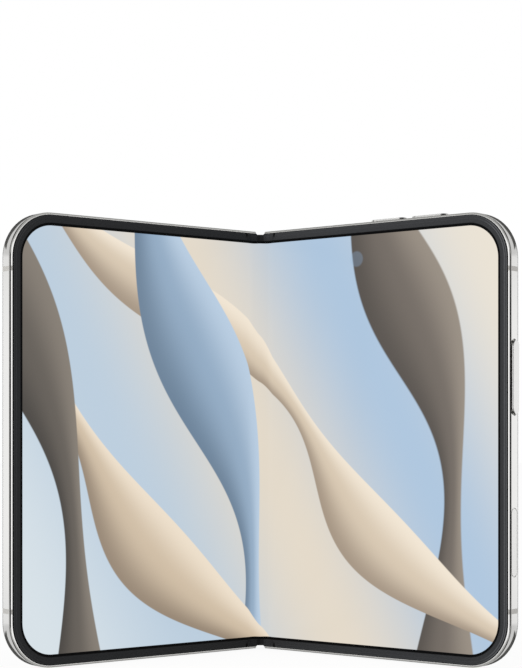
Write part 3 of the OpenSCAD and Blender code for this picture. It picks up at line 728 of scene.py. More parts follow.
def make_ribbon_group() -> bpy.types.NodeTree:
    """Builds one silk ribbon of the wallpaper, which wanders and grows slim where it turns.

    Returns:
        A group that takes the design's coordinates and puts out a mask and the place across the ribbon.
    """
    numbers = {"Level": 0.5, "Tilt": 0.0, "Rise": 0.05, "Length": 1.0, "Shift": 0.0, "Width": 0.1,
               "Soft": 0.004}
    group, sheet, into, out = new_group(
        "silk_ribbon", {"Vector": ("Vector", None), **{k: ("Float", v) for k, v in numbers.items()}},
        {"Mask": "Float", "Across": "Float"})
    get = into.outputs
    x, y, _ = sheet.split(get["Vector"])
    turn = sheet.math("ADD", sheet.math("MULTIPLY", x, sheet.math("DIVIDE", 2 * math.pi, get["Length"])),
                      get["Shift"])
    course = sheet.math("ADD", get["Level"], sheet.math("MULTIPLY", x, get["Tilt"]))
    course = sheet.math("ADD", course, sheet.math("MULTIPLY", sheet.math("SINE", turn), get["Rise"]))
    swing = sheet.math("COSINE", sheet.math("MULTIPLY", turn, 1.37))
    half = sheet.math("MULTIPLY", get["Width"], sheet.math("ADD", 0.62, sheet.math("MULTIPLY", swing, 0.38)))
    off = sheet.math("SUBTRACT", y, course)
    place = sheet.math("DIVIDE", off, half)
    mask = sheet.scaled(sheet.math("SUBTRACT", half, sheet.math("ABSOLUTE", off)), 0.0, get["Soft"], 0.0, 1.0)
    sheet.put(out, Mask=mask, Across=sheet.math("MULTIPLY", sheet.math("ADD", place, 1.0), 0.5, clamp=True))
    return group


@dataclass(frozen=True)
class BezelPaintedLight:
    """The bezel's painted light: painted shade along its edges, at its seams and along the fold's middle,
    painted highlights along two fine ridge lines, and a right half painted lighter, where the light falls
    more.

    A pair says where a form is absent and where it is full. The two highlight lines' own distances are places
    instead.

    Args:
        inner_edge_shade: Distances of the painted shade along the inner edge, beside the picture.
        outer_edge_shade: Distances of the painted shade along the outer edge, beside the frame.
        seam_place: Distance of the seams from the fold.
        seam_shade_width: Distances from the middle of the painted shade in the gap at each of the seams.
        seam_shade_start: Distances from the picture where that painted shade begins.
        crease_shade: Distances from the fold's middle of the painted shade where the bezel bends.
        ridge_highlights: Distances of the two painted highlight lines from the picture.
        ridge_highlight_width: Distances from a highlight line's middle.
        ridge_highlight_span: Where along the width the painted highlights show.
        painted_shade_colour: Colour of all the painted shade.
        ridge_highlight_colour: Colour of the painted highlights.
        right_half_light_colour: Colour towards which the right half's bezel is painted lighter, as the light
            falls on it more.
    """

    inner_edge_shade: Span = (0.80 * MM, 0.50 * MM)
    outer_edge_shade: Span = (2.60 * MM, 2.80 * MM)
    seam_place: float = 6.45 * MM
    seam_shade_width: Span = (0.42 * MM, 0.20 * MM)
    seam_shade_start: Span = (1.10 * MM, 2.10 * MM)
    crease_shade: Span = (1.30 * MM, 0.70 * MM)
    ridge_highlights: Span = (1.88 * MM, 2.45 * MM)
    ridge_highlight_width: Span = (0.17 * MM, 0.05 * MM)
    ridge_highlight_span: Span = (74.0 * MM, 80.0 * MM)
    painted_shade_colour: Colour = srgb(6, 6, 7)
    ridge_highlight_colour: Colour = srgb(96, 97, 100)
    right_half_light_colour: Colour = srgb(52, 53, 55)

    def paint(self, sheet: NodeSheet, groups: "Groups", place: bpy.types.NodeSocket,
              colour: bpy.types.NodeSocket) -> tuple[bpy.types.NodeSocket, bpy.types.NodeSocket]:
        """Draws the painted shade, the painted highlights and the right half's painted light over the bezel's
        plain colour.

        Args:
            sheet: The material's sheet.
            groups: The shared groups.
            place: Object coordinates.
            colour: The plain colour.

        Returns:
            The colour over the bezel, and a mask of its painted shade, which is also matt.
        """
        flat = sheet.group(groups.flat, Vector=place)
        across, side = flat["Across"], flat["Side"]
        away = sheet.group(groups.outline, Across=across,
                           Up=sheet.math("SUBTRACT", flat["Up"], PICTURE_MIDDLE))["Distance"]
        # Painted shade: dark lines along the inner edge beside the picture and along the outer edge beside
        # the frame.
        painted_shade = sheet.math("MAXIMUM", sheet.scaled(away, *self.inner_edge_shade, 0, 1),
                          sheet.scaled(away, *self.outer_edge_shade, 0, 1))
        # Painted shade in the gaps at the seams, where the bending strips meet the rigid bezel.
        off_seam = sheet.math("ABSOLUTE", sheet.math("SUBTRACT", across, self.seam_place))
        seam_shade = sheet.math("MULTIPLY", sheet.scaled(off_seam, *self.seam_shade_width, 0, 1),
                          sheet.scaled(away, *self.seam_shade_start, 0, 0.95))
        # Painted shade where the bezel bends, darkest along the fold's middle.
        crease_shade = sheet.scaled(sheet.math("ABSOLUTE", sheet.split(place)[0]), *self.crease_shade, 0, 0.6)
        painted_shade = sheet.math("MAXIMUM", painted_shade, sheet.math("MAXIMUM", seam_shade, crease_shade))
        # Painted highlights: two fine light lines where the bezel's outer shoulder catches the light.
        ridge_highlights = 0.0
        for ridge in self.ridge_highlights:
            off = sheet.math("ABSOLUTE", sheet.math("SUBTRACT", away, ridge))
            ridge_highlights = sheet.math("ADD", ridge_highlights, sheet.scaled(off, *self.ridge_highlight_width, 0, 1))
        # The painted highlights are stronger on the right half, where the light falls more, and strongest
        # near the outer edge.
        highlight_strength = sheet.math("MULTIPLY", sheet.scaled(side, -1.0, 1.0, 0.10, 0.60, smooth=False),
                              sheet.scaled(across, *self.ridge_highlight_span, 0.1, 1))
        # Painted light: the right half's bezel is painted lighter, as the light falls on it more.
        tint = sheet.scaled(side, -1.0, 1.0, 0, 0.7, smooth=False)
        colour = sheet.mix(tint, colour, rgba(self.right_half_light_colour))
        colour = sheet.mix(sheet.math("MULTIPLY", ridge_highlights, highlight_strength), colour, rgba(self.ridge_highlight_colour))
        return sheet.mix(painted_shade, colour, rgba(self.painted_shade_colour)), painted_shade


@dataclass(frozen=True)
class Finish:
    """A plain finish: one colour and gloss, with the unevenness that handling gives.

    Args:
        name: The material's name.
        colour: Its linear colour.
        roughness: Its mean roughness.
        metallic: 1 for bare metal, 0 otherwise.
        grain: Fineness of the grain, in waves a metre.
        tint: How much the colour varies.
        smudge: How much the roughness varies.
        relief: Strength of the grain's bump.
        coat: Weight of a clear coat.
        lines: Strength of machining lines along the height.
        specular: Level of the plain surface's gloss.
        crowned: True for the frame's flanks, whose slight crown shows in reflections.
        bezel_painted_light: True for the bezel, with painted shade along its edges, at its seams and along
            the fold, painted highlights along fine ridge lines, and its right half painted lighter.
        dark_edge_line: True for the antenna bands, which get a dark line painted along their front edge
            beside the bezel.
    """

    name: str
    colour: Colour
    roughness: float
    metallic: float = 0.0
    grain: float = 2500.0
    tint: float = 0.06
    smudge: float = 0.06
    relief: float = 0.05
    coat: float = 0.0
    lines: float = 0.0
    specular: float = 0.5
    crowned: bool = False
    bezel_painted_light: bool = False
    dark_edge_line: bool = False

    def build(self, groups: "Groups") -> bpy.types.Material:
        """Makes the material.

        Args:
            groups: The node groups that materials share.

        Returns:
            The material.
        """
        material, sheet, shader = new_material(self.name)
        place = sheet.add("TexCoord").outputs["Object"]
        cover = sheet.group(groups.handling, Vector=place, Colour=rgba(self.colour), Roughness=self.roughness,
                            Scale=self.grain, Tint=self.tint, Smudge=self.smudge)
        colour, roughness, height = cover["Colour"], cover["Roughness"], cover["Height"]
        if self.lines:
            height = sheet.mix(self.lines, height, sheet.group(groups.machined, Vector=place)["Lines"])
        bump = sheet.add("Bump")
        normal = sheet.put(bump, Height=height, Strength=self.relief, Distance=0.02 * MM).outputs[0]
        if self.crowned:
            for shape in (groups.corner, groups.crown):
                normal = sheet.group(shape, Vector=place, Normal=normal)["Normal"]
        if self.dark_edge_line:
            depth = sheet.group(groups.flat, Vector=place)["Depth"]
            # A dark line painted along the band's front edge, 0.58 to 0.68 mm behind the display's face.
            edge_line_mask = sheet.math("MULTIPLY", sheet.scaled(depth, 0.68 * MM, 0.58 * MM, 0, 0.92),
                                sheet.scaled(depth, 0.01 * MM, 0.03 * MM, 0, 1))
            colour = sheet.mix(edge_line_mask, colour, rgba(srgb(20, 20, 21)))
        if self.bezel_painted_light:
            # The bezel gets its painted shade, painted highlights and painted light; its painted shade is
            # also matt.
            colour, painted_shade = BezelPaintedLight().paint(sheet, groups, place, colour)
            roughness = sheet.math("MAXIMUM", roughness, painted_shade)
        sheet.put(shader, Base_Color=colour, Roughness=roughness, Metallic=self.metallic, Normal=normal,
                  Coat_Weight=self.coat, Specular_IOR_Level=self.specular)
        return material


def new_material(name: str) -> tuple[bpy.types.Material, NodeSheet, bpy.types.Node]:
    """Makes a material that holds a Principled shader.

    Args:
        name: The material's name.

    Returns:
        The material, its NodeSheet and its shader.
    """
    material = bpy.data.materials.new(name)
    material.use_nodes = True
    return material, NodeSheet(material.node_tree), material.node_tree.nodes["Principled BSDF"]


@dataclass(frozen=True)
class Ribbon:
    """One ribbon of the wallpaper, in shares of the display's height and in the design's own directions.

    Args:
        level: Height of its middle at the design's middle.
        tilt: Rise of its middle along the design.
        rise: Height of its waves.
        length: Length of its waves.
        shift: Where a wave starts, in radians.
        width: Half its greatest width.
        upper: Colour along its upper edge.
        middle: Colour of its middle.
        lower: Colour along its lower edge.
        soft: Softness of its edges.
    """

    level: float
    tilt: float
    rise: float
    length: float
    shift: float
    width: float
    upper: Colour
    middle: Colour
    lower: Colour
    soft: float = 0.004


@dataclass(frozen=True)
class DisplayFinish:
    """The lit display: black glass that shows a generic wallpaper of silk ribbons on a soft gradient.

    Args:
        name: The material's name.
        ground: Level and colour of each stop of the gradient, in the design's own directions.
        ribbons: The ribbons, from the back to the front.
        turn: Angle by which the whole design stands across the display.
        camera: Place of the faint disc over the camera below the display.
        camera_radius: Radius of that disc.
        camera_tint: Colour of that disc.
        half_width: Distance from the fold to the panel's outer edge.
        margin: Width of the unlit margin inside the bezel.
        margin_soft: Softness of that margin's edge.
    """

    name: str = "lit_display"
    ground: tuple[tuple[float, Colour], ...] = (
        (-0.30, srgb(214, 224, 230)), (0.10, srgb(186, 204, 220)), (0.50, srgb(226, 216, 200)),
        (0.90, srgb(172, 196, 220)), (1.30, srgb(232, 224, 210)))
    ribbons: tuple[Ribbon, ...] = (
        Ribbon(1.02, -0.34, 0.070, 1.30, 0.4, 0.120,
               srgb(150, 140, 128), srgb(112, 104, 96), srgb(84, 78, 72), 0.006),
        Ribbon(0.60, 0.42, 0.060, 1.10, 2.3, 0.100,
               srgb(240, 228, 210), srgb(214, 198, 176), srgb(164, 148, 130)),
        Ribbon(0.34, -0.30, 0.080, 1.50, 1.1, 0.130,
               srgb(184, 204, 224), srgb(146, 170, 194), srgb(108, 130, 152)),
        Ribbon(0.10, 0.36, 0.060, 1.20, 4.0, 0.110,
               srgb(236, 222, 202), srgb(206, 188, 164), srgb(150, 134, 116)),
        Ribbon(-0.16, -0.24, 0.070, 1.60, 2.6, 0.120,
               srgb(132, 124, 114), srgb(98, 92, 85), srgb(70, 66, 61)))
    turn: float = math.radians(62)
    camera: Span = (0.303, 0.934)
    camera_radius: float = 0.021
    camera_tint: Colour = srgb(146, 178, 208)
    half_width: float = 80.32 * MM
    margin: float = 0.05 * MM
    margin_soft: float = 0.06 * MM

    def build(self, groups: "Groups", fold: Fold) -> bpy.types.Material:
        """Makes the material, whose pattern reads the piece's own UV map.

        Args:
            groups: The node groups that materials share.
            fold: Geometry of the fold.

        Returns:
            The material.
        """
        bottom, top = fold.flat_box("right_display", Side.RIGHT)
        material, sheet, shader = new_material(self.name)
        uv = sheet.add("UVMap", uv_map="display").outputs[0]
        design = sheet.put(sheet.add("VectorRotate", rotation_type="Z_AXIS"), Vector=uv, Center=(0, 0.5, 0),
                           Angle=self.turn).outputs[0]
        level = sheet.split(design)[1]
        picture = rgba(self.ground[0][1])
        for (low, _), (high, colour) in zip(self.ground, self.ground[1:]):
            picture = sheet.mix(sheet.scaled(level, low, high, 0, 1), picture, rgba(colour))
        for ribbon in self.ribbons:
            silk = sheet.group(groups.ribbon, Vector=design, Level=ribbon.level, Tilt=ribbon.tilt,
                               Rise=ribbon.rise, Length=ribbon.length, Shift=ribbon.shift, Width=ribbon.width,
                               Soft=ribbon.soft)
            across = silk["Across"]
            tone = sheet.mix(sheet.scaled(across, 0.0, 0.55, 0, 1), rgba(ribbon.lower), rgba(ribbon.middle))
            tone = sheet.mix(sheet.scaled(across, 0.5, 1.0, 0, 1), tone, rgba(ribbon.upper))
            picture = sheet.mix(silk["Mask"], picture, tone)
        picture = sheet.mix(self.camera_disc(sheet, uv), picture, rgba(self.camera_tint))
        margin = self.unlit_margin(sheet, groups, uv, top.z - bottom.z)
        sheet.put(shader, Base_Color=rgba((0.010, 0.010, 0.011)), Roughness=0.14, Specular_IOR_Level=0.12,
                  Emission_Color=sheet.mix(margin, picture, rgba((0, 0, 0))), Emission_Strength=1.0)
        return material

    def unlit_margin(self, sheet: NodeSheet, groups: "Groups", uv: bpy.types.NodeSocket,
                     unit: float) -> bpy.types.NodeSocket:
        """Masks the margin of the panel that stays dark.

        Args:
            sheet: The material's sheet.
            groups: The shared groups.
            uv: The panel's UV map.
            unit: Length of the map's unit.

        Returns:
            The mask.
        """
        x, y, _ = sheet.split(uv)
        away = sheet.group(groups.outline, Across=sheet.math("MULTIPLY", x, unit), Half_Width=self.half_width,
                           Up=sheet.math("MULTIPLY", sheet.math("SUBTRACT", y, 0.5), unit))["Distance"]
        return sheet.scaled(away, -self.margin - self.margin_soft, -self.margin, 0, 1)

    def camera_disc(self, sheet: NodeSheet, uv: bpy.types.NodeSocket) -> bpy.types.NodeSocket:
        """Masks the faint disc over the camera that sits below the display."""
        away = sheet.vector("DISTANCE", uv, _1=(*self.camera, 0))
        return sheet.scaled(away, self.camera_radius, self.camera_radius * 0.75, 0, 0.22)


@dataclass(frozen=True)
class LensFinish:
    """The camera lenses: dark glass over stepped baffles and a coated inner lens, with a painted highlight
    ring round it.

    Args:
        name: The material's name.
        base: Colour outside the zones.
        zones: Share of the lens's radius where each zone begins, from the rim inwards, and its colour; the
            light grey ring from half the radius is a painted highlight round the coated inner lens.
    """

    name: str = "camera_lens"
    base: Colour = (0.003, 0.003, 0.004)
    zones: tuple[tuple[float, Colour], ...] = (
        (0.90, (0.030, 0.030, 0.033)), (0.86, (0.003, 0.003, 0.004)), (0.66, (0.045, 0.045, 0.050)),
        # The light grey ring from half the radius is a painted highlight round the coated inner lens.
        (0.63, (0.004, 0.004, 0.005)), (0.50, (0.070, 0.072, 0.080)), (0.475, (0.006, 0.008, 0.020)),
        (0.34, (0.010, 0.006, 0.022)), (0.20, (0.002, 0.002, 0.003)))

    def build(self, groups: "Groups", fold: Fold) -> bpy.types.Material:
        """Makes the material for the two lenses on the right half.

        Args:
            groups: The node groups that materials share.
            fold: Geometry of the fold.

        Returns:
            The material.
        """
        low, high = fold.flat_box("lens_glasses", Side.RIGHT)
        radius = (high.z - low.z) / 2
        step = (high.x - low.x) / 2 - radius
        material, sheet, shader = new_material(self.name)
        flat = sheet.group(groups.flat, Vector=sheet.add("TexCoord").outputs["Object"])
        across = sheet.math("ABSOLUTE", sheet.math("SUBTRACT", flat["Across"], (low.x + high.x) / 2))
        away = sheet.reach(sheet.math("SUBTRACT", across, step),
                           sheet.math("SUBTRACT", flat["Up"], (low.z + high.z) / 2))
        colour = sheet.rings(sheet.math("DIVIDE", away, radius), self.zones, 0.012, rgba(self.base))
        sheet.put(shader, Base_Color=colour, Roughness=0.03, Coat_Weight=1.0)
        return material


@dataclass(frozen=True)
class OuterScreenFinish:
    """The outer screen's glass: a switched-off picture area in a printed border, and a camera window.

    Args:
        name: The material's name.
        border: Width of the printed border.
        corner: Radius of the picture area's corners.
        window: Radius of the ring round the camera's window.
        border_colour: Colour of the printed border.
        screen_colour: Colour of the switched-off picture area.
        rings: Share of the window's radius where each ring begins, and its colour.
    """

    name: str = "outer_screen"
    border: float = 2.2 * MM
    corner: float = 9.0 * MM
    window: float = 2.3 * MM
    border_colour: Colour = (0.002, 0.002, 0.003)
    screen_colour: Colour = (0.013, 0.013, 0.016)
    rings: tuple[tuple[float, Colour], ...] = (
        (1.0, (0.035, 0.035, 0.038)), (0.90, (0.002, 0.002, 0.002)), (0.45, (0.040, 0.042, 0.050)),
        (0.38, (0.004, 0.005, 0.014)))

    def build(self, groups: "Groups", fold: Fold) -> bpy.types.Material:
        """Makes the material for the left half's outer glass.

        Args:
            groups: The node groups that materials share.
            fold: Geometry of the fold.

        Returns:
            The material.
        """
        low, high = fold.flat_box("cover_glass", Side.LEFT)
        eye_low, eye_high = fold.flat_box("cover_camera", Side.LEFT)
        material, sheet, shader = new_material(self.name)
        flat = sheet.group(groups.flat, Vector=sheet.add("TexCoord").outputs["Object"])
        outline = sheet.group(
            groups.outline, Radius=self.corner,
            Across=sheet.math("ADD", flat["Across"], (low.x + high.x) / 2),
            Up=sheet.math("SUBTRACT", flat["Up"], (low.z + high.z) / 2),
            Half_Width=(high.x - low.x) / 2 - self.border, Half_Height=(high.z - low.z) / 2 - self.border)
        inside = sheet.scaled(outline["Distance"], 0.05 * MM, -0.05 * MM, 0, 1)
        colour = sheet.mix(inside, rgba(self.border_colour), rgba(self.screen_colour))
        away = sheet.reach(sheet.math("ADD", flat["Across"], (eye_low.x + eye_high.x) / 2),
                           sheet.math("SUBTRACT", flat["Up"], (eye_low.z + eye_high.z) / 2))
        colour = sheet.rings(sheet.math("DIVIDE", away, self.window), self.rings, 0.03, colour)
        sheet.put(shader, Base_Color=colour, Roughness=0.05, Specular_IOR_Level=0.5)
        return material


@dataclass(frozen=True)
class MeshFinish:
    """The fine woven mesh behind the sound openings.

    Args:
        name: The material's name.
        pitch: Spacing of the mesh's threads.
    """

    name: str = "sound_mesh"
    pitch: float = 0.16 * MM

    def build(self) -> bpy.types.Material:
        """Makes the material, whose threads run across each other in Object coordinates.

        Returns:
            The material.
        """
        material, sheet, shader = new_material(self.name)
        axes = sheet.split(sheet.add("TexCoord").outputs["Object"])
        turns = [sheet.math("MULTIPLY", axis, math.pi / self.pitch) for axis in axes]
        waves = [sheet.math("ABSOLUTE", sheet.math("SINE", turn)) for turn in turns]
        threads = sheet.math("MINIMUM", waves[0], sheet.math("MAXIMUM", waves[1], waves[2]))
        open_share = sheet.scaled(threads, 0.35, 0.6, 0, 1)
        colour = sheet.mix(open_share, rgba((0.16, 0.16, 0.165)), rgba((0.004, 0.004, 0.004)))
        bump = sheet.put(sheet.add("Bump"), Height=threads, Strength=0.4, Distance=0.05 * MM)
        sheet.put(shader, Base_Color=colour, Roughness=0.42, Metallic=0.6, Normal=bump.outputs[0])
        return material


class Groups:
    """The node groups that materials share, each built once."""

    frame_corner = 12.5 * MM

    def __init__(self, fold: Fold) -> None:
        """Builds every group.

        Args:
            fold: Geometry of the fold.
        """
        self.handling = make_handling_group()
        self.machined = make_brushed_group()
        self.flat = make_flat_group(fold)
        self.outline = make_outline_group()
        low, high = fold.flat_box("right_frame", Side.RIGHT)
        half = (high.x, (high.z - low.z) / 2)
        self.corner = make_corner_group(self.flat, fold, half, self.frame_corner)
        self.crown = make_crown_group(self.flat, half, self.frame_corner)
        self.ribbon = make_ribbon_group()


class Metal(Enum):
    """The metals on the phone, each with its finish."""

    FRAME = Finish("crowned_frame", (0.93, 0.925, 0.91), 0.08, 1.0, 1800.0, 0.02, 0.05, 0.02, crowned=True)
    POLISHED = Finish("polished_trim", (0.93, 0.925, 0.91), 0.08, 1.0, 1800.0, 0.02, 0.05, 0.02)
    BUTTON = Finish("satin_button", (0.93, 0.925, 0.91), 0.20, 1.0, 1800.0, 0.02, 0.05, 0.02)
    STEEL = Finish("hinge_steel", (0.60, 0.60, 0.61), 0.28, 1.0, 3000.0, 0.08, 0.12, 0.10, lines=0.7)
    BRASS = Finish("gear_brass", (0.74, 0.58, 0.30), 0.25, 1.0, 3000.0, 0.10, 0.12, 0.10)
    PLATE = Finish("anodised_plate", (0.52, 0.53, 0.55), 0.42, 1.0, 4000.0, 0.06, 0.10, 0.15)
    TIN = Finish("shield_tin", (0.66, 0.66, 0.68), 0.33, 1.0, 2600.0, 0.06, 0.12, 0.12)
    COPPER = Finish("coil_copper", (0.68, 0.38, 0.22), 0.30, 1.0, 2600.0, 0.12, 0.15, 0.20, lines=0.5)
    GOLD = Finish("contact_gold", (0.83, 0.64, 0.32), 0.22, 1.0, 2600.0, 0.05, 0.08, 0.05)


class Coating(Enum):
    """The plastics, glasses and coatings on the phone, each with its finish."""

    # The bezel's finish carries painted shade, painted highlights and a right half painted lighter.
    BEZEL = Finish("soft_black_bezel", srgb(34, 35, 37), 0.46, 0.0, 3500.0, 0.08, 0.08, 0.12,
                   specular=0.20, bezel_painted_light=True)
    BAND = Finish("antenna_resin", srgb(168, 166, 162), 0.30, 0.0, 3000.0, 0.04, 0.05, 0.06, coat=0.3,
                  dark_edge_line=True)
    BACK = Finish("frosted_back_glass", srgb(226, 223, 216), 0.32, 0.0, 4500.0, 0.02, 0.06, 0.08, coat=0.25)
    CELL = Finish("battery_wrap", (0.03, 0.03, 0.032), 0.45, 0.0, 1500.0, 0.15, 0.12, 0.20)
    BOARD = Finish("board_resist", (0.02, 0.09, 0.05), 0.35, 0.0, 2200.0, 0.20, 0.10, 0.20, coat=0.4)
    MODULE = Finish("module_black", (0.018, 0.018, 0.02), 0.40, 0.0, 2600.0, 0.12, 0.10, 0.12)
    FLASH = Finish("flash_window", (0.86, 0.82, 0.66), 0.25, 0.0, 5200.0, 0.06, 0.08, 0.35, coat=0.6)
    RIBBON = Finish("ribbon_film", (0.50, 0.22, 0.04), 0.35, 0.0, 2400.0, 0.10, 0.08, 0.10, coat=0.4)
    CAP = Finish("spine_end_cap", (0.02, 0.02, 0.022), 0.45, 0.0, 3000.0, 0.10, 0.10, 0.15)


NODE_FINISHES: dict[Enum, tuple[str, ...]] = {
    Metal.FRAME: ("left_frame", "right_frame"),
    Metal.POLISHED: ("spine_cover", "camera_island", "lens_rings"),
    Metal.BUTTON: ("power_button", "capture_button", "volume_up_button", "volume_down_button"),
    Metal.STEEL: ("hinge_brackets", "fold_pins", "idler_pins", "left_hinge_arms", "right_hinge_arms",
                  "left_hinge_screws", "right_hinge_screws", "button_switches", "usb_c_shell"),
    Metal.BRASS: ("friction_discs", "left_idler_gears", "right_idler_gears", "left_fold_gears",
                  "right_fold_gears"),
    Metal.PLATE: ("left_midplate", "right_midplate"),
    Metal.TIN: ("left_board_shields", "board_shields", "vibration_motor"),
    Metal.COPPER: ("charging_coil",),
    Coating.BEZEL: ("left_bezel", "right_bezel"),
    Coating.BAND: ("left_antenna_bands", "right_antenna_bands"),
    Coating.BACK: ("back_glass",),
    Coating.CELL: ("left_battery", "right_battery"),
    Coating.BOARD: ("left_board", "main_board"),
    Coating.MODULE: ("earpiece", "cover_camera", "cover_panel", "under_display_camera", "usb_c_tongue",
                     "loudspeaker", "camera_modules"),
    Coating.FLASH: ("flash_window",),
    Coating.RIBBON: ("hinge_flex_cable",),
    Coating.CAP: ("spine_end_caps",),
}


class FinishShelf:
    """Builds each finish once and gives CAD nodes theirs."""

    def __init__(self, fold: Fold) -> None:
        """Builds the groups and every finish.

        Args:
            fold: Geometry of the fold.
        """
        self.groups = Groups(fold)
        self.made = {choice: choice.value.build(self.groups) for kind in (Metal, Coating) for choice in kind}
        self.display = DisplayFinish().build(self.groups, fold)
        self.mesh = MeshFinish().build()
        self.special = {"lens_glasses": LensFinish().build(self.groups, fold),
                        "cover_glass": OuterScreenFinish().build(self.groups, fold)}

    def dress_nodes(self) -> None:
        """Gives every CAD node its material."""
        plain = {name: self.made[choice] for choice, names in NODE_FINISHES.items() for name in names}
        for name, finish in (plain | self.special).items():
            node = frame["nodes"][name]
            if not node.material_slots:
                node.data.materials.append(None)
            for holder in node.material_slots:
                holder.material = finish


def report(piece: bpy.types.Object) -> None:
    """Notes a finished piece in the log."""
    log.info("made %s with %d faces", piece.name, len(piece.data.polygons))


# ---- Pieces that cross the fold ----


@dataclass
class InnerScreen:
    """The flexible inner display, the bezel's soft strips at the fold and the ribbon cable behind them.

    Args:
        fold: Geometry of the fold.
        shelf: The finishes.
        panel_corner: Radius of the panel's outer corners.
        corner_steps: Segments in such a corner.
        bend_cuts: Cuts across the bending stretch of a half.
        bezel_width: Width of the bezel beside the display.
        strip_depth: Depth of the bezel's strips behind the display's face.
        strip_round: Radius of the strips' front edges.
        notch: How far the strips draw in at the fold's middle.
        notch_reach: Half the width of that notch.
        notch_edge: Width of the strips' outer part, which draws in.
        cable_depth: Depth of the ribbon cable behind the display's face.
        cable_thickness: Thickness of the ribbon cable.
        cable_corner: Radius of its corners.
        laid_aside: How far off the wallpaper the panel's sides and back are laid, so that they stay dark.
    """

    fold: Fold
    shelf: FinishShelf
    panel_corner: float = 10.15 * MM
    corner_steps: int = 12
    bend_cuts: int = 24
    bezel_width: float = 2.85 * MM
    strip_depth: float = 0.4 * MM
    strip_round: float = 0.15 * MM
    notch: float = 0.6 * MM
    notch_reach: float = 1.8 * MM
    notch_edge: float = 1.2 * MM
    cable_depth: float = 1.75 * MM
    cable_thickness: float = 0.15 * MM
    cable_corner: float = 0.8 * MM
    laid_aside: float = 2.0

    def build(self) -> None:
        """Makes both halves of the display, the bezel's strips and the cable."""
        for side in Side:
            self.make_panel(side)
            self.make_bezel_strips(side)
            self.make_cable(side)

    def make_panel(self, side: Side) -> None:
        """Makes one half of the display, from the fold to its outer edge.

        Args:
            side: The half.
        """
        low, high = self.fold.flat_box(f"{side.word}_display", side)
        outer = max(abs(low.x), abs(high.x))
        x = sorted((0.0, side.value * outer))
        piece = Bench.block(f"{side.word}_display_panel", (x[0], low.y, low.z), (x[1], high.y, high.z))
        Bench.round_edges(piece, self.panel_corner, self.corner_steps,
                          lambda middle, way: abs(way.y) > 0.9 and abs(middle.x) > outer / 2)
        self.cut_across(piece, side)
        self.lay_picture(piece, low.z, high.z)
        self.set_in(piece, side, self.shelf.display)
        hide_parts(f"{side.word}_display", "display_fold_strip")
        report(piece)

    def make_bezel_strips(self, side: Side) -> None:
        """Makes the two strips that carry the bezel from one half to the fold's middle.

        Args:
            side: The half.
        """
        low, high = self.fold.flat_box(f"{side.word}_bezel", side)
        back = self.fold.face_y + self.strip_depth
        x = sorted((0.0, side.value * self.fold.zone))
        strips = []
        for start, end in ((low.z, low.z + self.bezel_width), (high.z - self.bezel_width, high.z)):
            strip = Bench.block("strip", (x[0], low.y, start), (x[1], back, end))
            Bench.round_edges(strip, self.strip_round, 3,
                              lambda middle, way: abs(way.x) > 0.9 and middle.y < self.fold.face_y)
            strips.append(strip)
        piece = Bench.join(f"{side.word}_bezel_strips", strips)
        self.cut_across(piece, side)
        self.narrow_at_fold(piece, (low.z + high.z) / 2, low.z + self.notch_edge)
        self.set_in(piece, side, self.shelf.made[Coating.BEZEL])
        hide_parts("bezel_fold_strips")
        report(piece)

    def make_cable(self, side: Side) -> None:
        """Makes one half of the ribbon cable, which bends as the display does.

        Args:
            side: The half.
        """
        low, high = self.fold.flat_box("hinge_flex_cable", side)
        end = high.x if side is Side.RIGHT else low.x
        front = self.fold.face_y + self.cable_depth
        x = sorted((0.0, end))
        piece = Bench.block(f"{side.word}_hinge_cable", (x[0], front, low.z),
                            (x[1], front + self.cable_thickness, high.z))
        Bench.round_edges(piece, self.cable_corner, 6,
                          lambda middle, way: abs(way.y) > 0.9 and abs(middle.x) > abs(end) / 2)
        self.cut_across(piece, side)
        self.set_in(piece, side, self.shelf.made[Coating.RIBBON])
        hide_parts("hinge_flex_cable")
        report(piece)

    def cut_across(self, piece: bpy.types.Object, side: Side) -> None:
        """Cuts the bending stretch of a piece into narrow strips.

        Args:
            piece: The piece, whose mesh is in the flat phone's place.
            side: The half that it is on.
        """
        for i in range(1, self.bend_cuts + 1):
            x = side.value * self.fold.zone * i / self.bend_cuts
            Bench.cut(piece, (x, 0, 0), (1, 0, 0))

    def lay_picture(self, piece: bpy.types.Object, low: float, high: float) -> None:
        """Lays the wallpaper's coordinates over a flat panel: 0 to 1 up, and in the same unit across.

        Args:
            piece: The panel.
            low: Height of its lower edge.
            high: Height of its upper edge.
        """
        while piece.data.uv_layers:
            piece.data.uv_layers.remove(piece.data.uv_layers[0])
        layer = piece.data.uv_layers.new(name="display")
        unit = high - low
        for face in piece.data.polygons:
            aside = 0.0 if face.normal.y < -0.9 else self.laid_aside
            for corner in face.loop_indices:
                place = piece.data.vertices[piece.data.loops[corner].vertex_index].co
                layer.data[corner].uv = (aside + place.x / unit, aside + (place.z - low) / unit)

    def narrow_at_fold(self, piece: bpy.types.Object, middle: float, edge: float) -> None:
        """Draws the strips' outer edges in at the fold's middle, which leaves the notch between the rims.

        Args:
            piece: The strips, whose mesh is in the flat phone's place.
            middle: Height of the middle between them.
            edge: Height where the lower strip's outer part ends.
        """
        for vertex in piece.data.vertices:
            away = min(max(abs(vertex.co.x) / self.notch_reach - 0.3, 0.0) / 0.7, 1.0)
            share = 1 - away * away * (3 - 2 * away)
            if abs(vertex.co.z - middle) > abs(edge - middle):
                vertex.co.z += math.copysign(self.notch * share, middle - vertex.co.z)

    def set_in(self, piece: bpy.types.Object, side: Side, finish: bpy.types.Material) -> None:
        """Sets a piece in its place along the fold's curve, dresses it and moves its place into its mesh.

        Args:
            piece: The piece, whose mesh is in the flat phone's place.
            side: The half that it is on.
            finish: Its material.
        """
        self.fold.settle(piece, side, bends=True)
        Bench.smooth(piece)
        Bench.dress(piece, finish)
        self.fold.bend(piece, side)


# ---- Port and sound openings ----


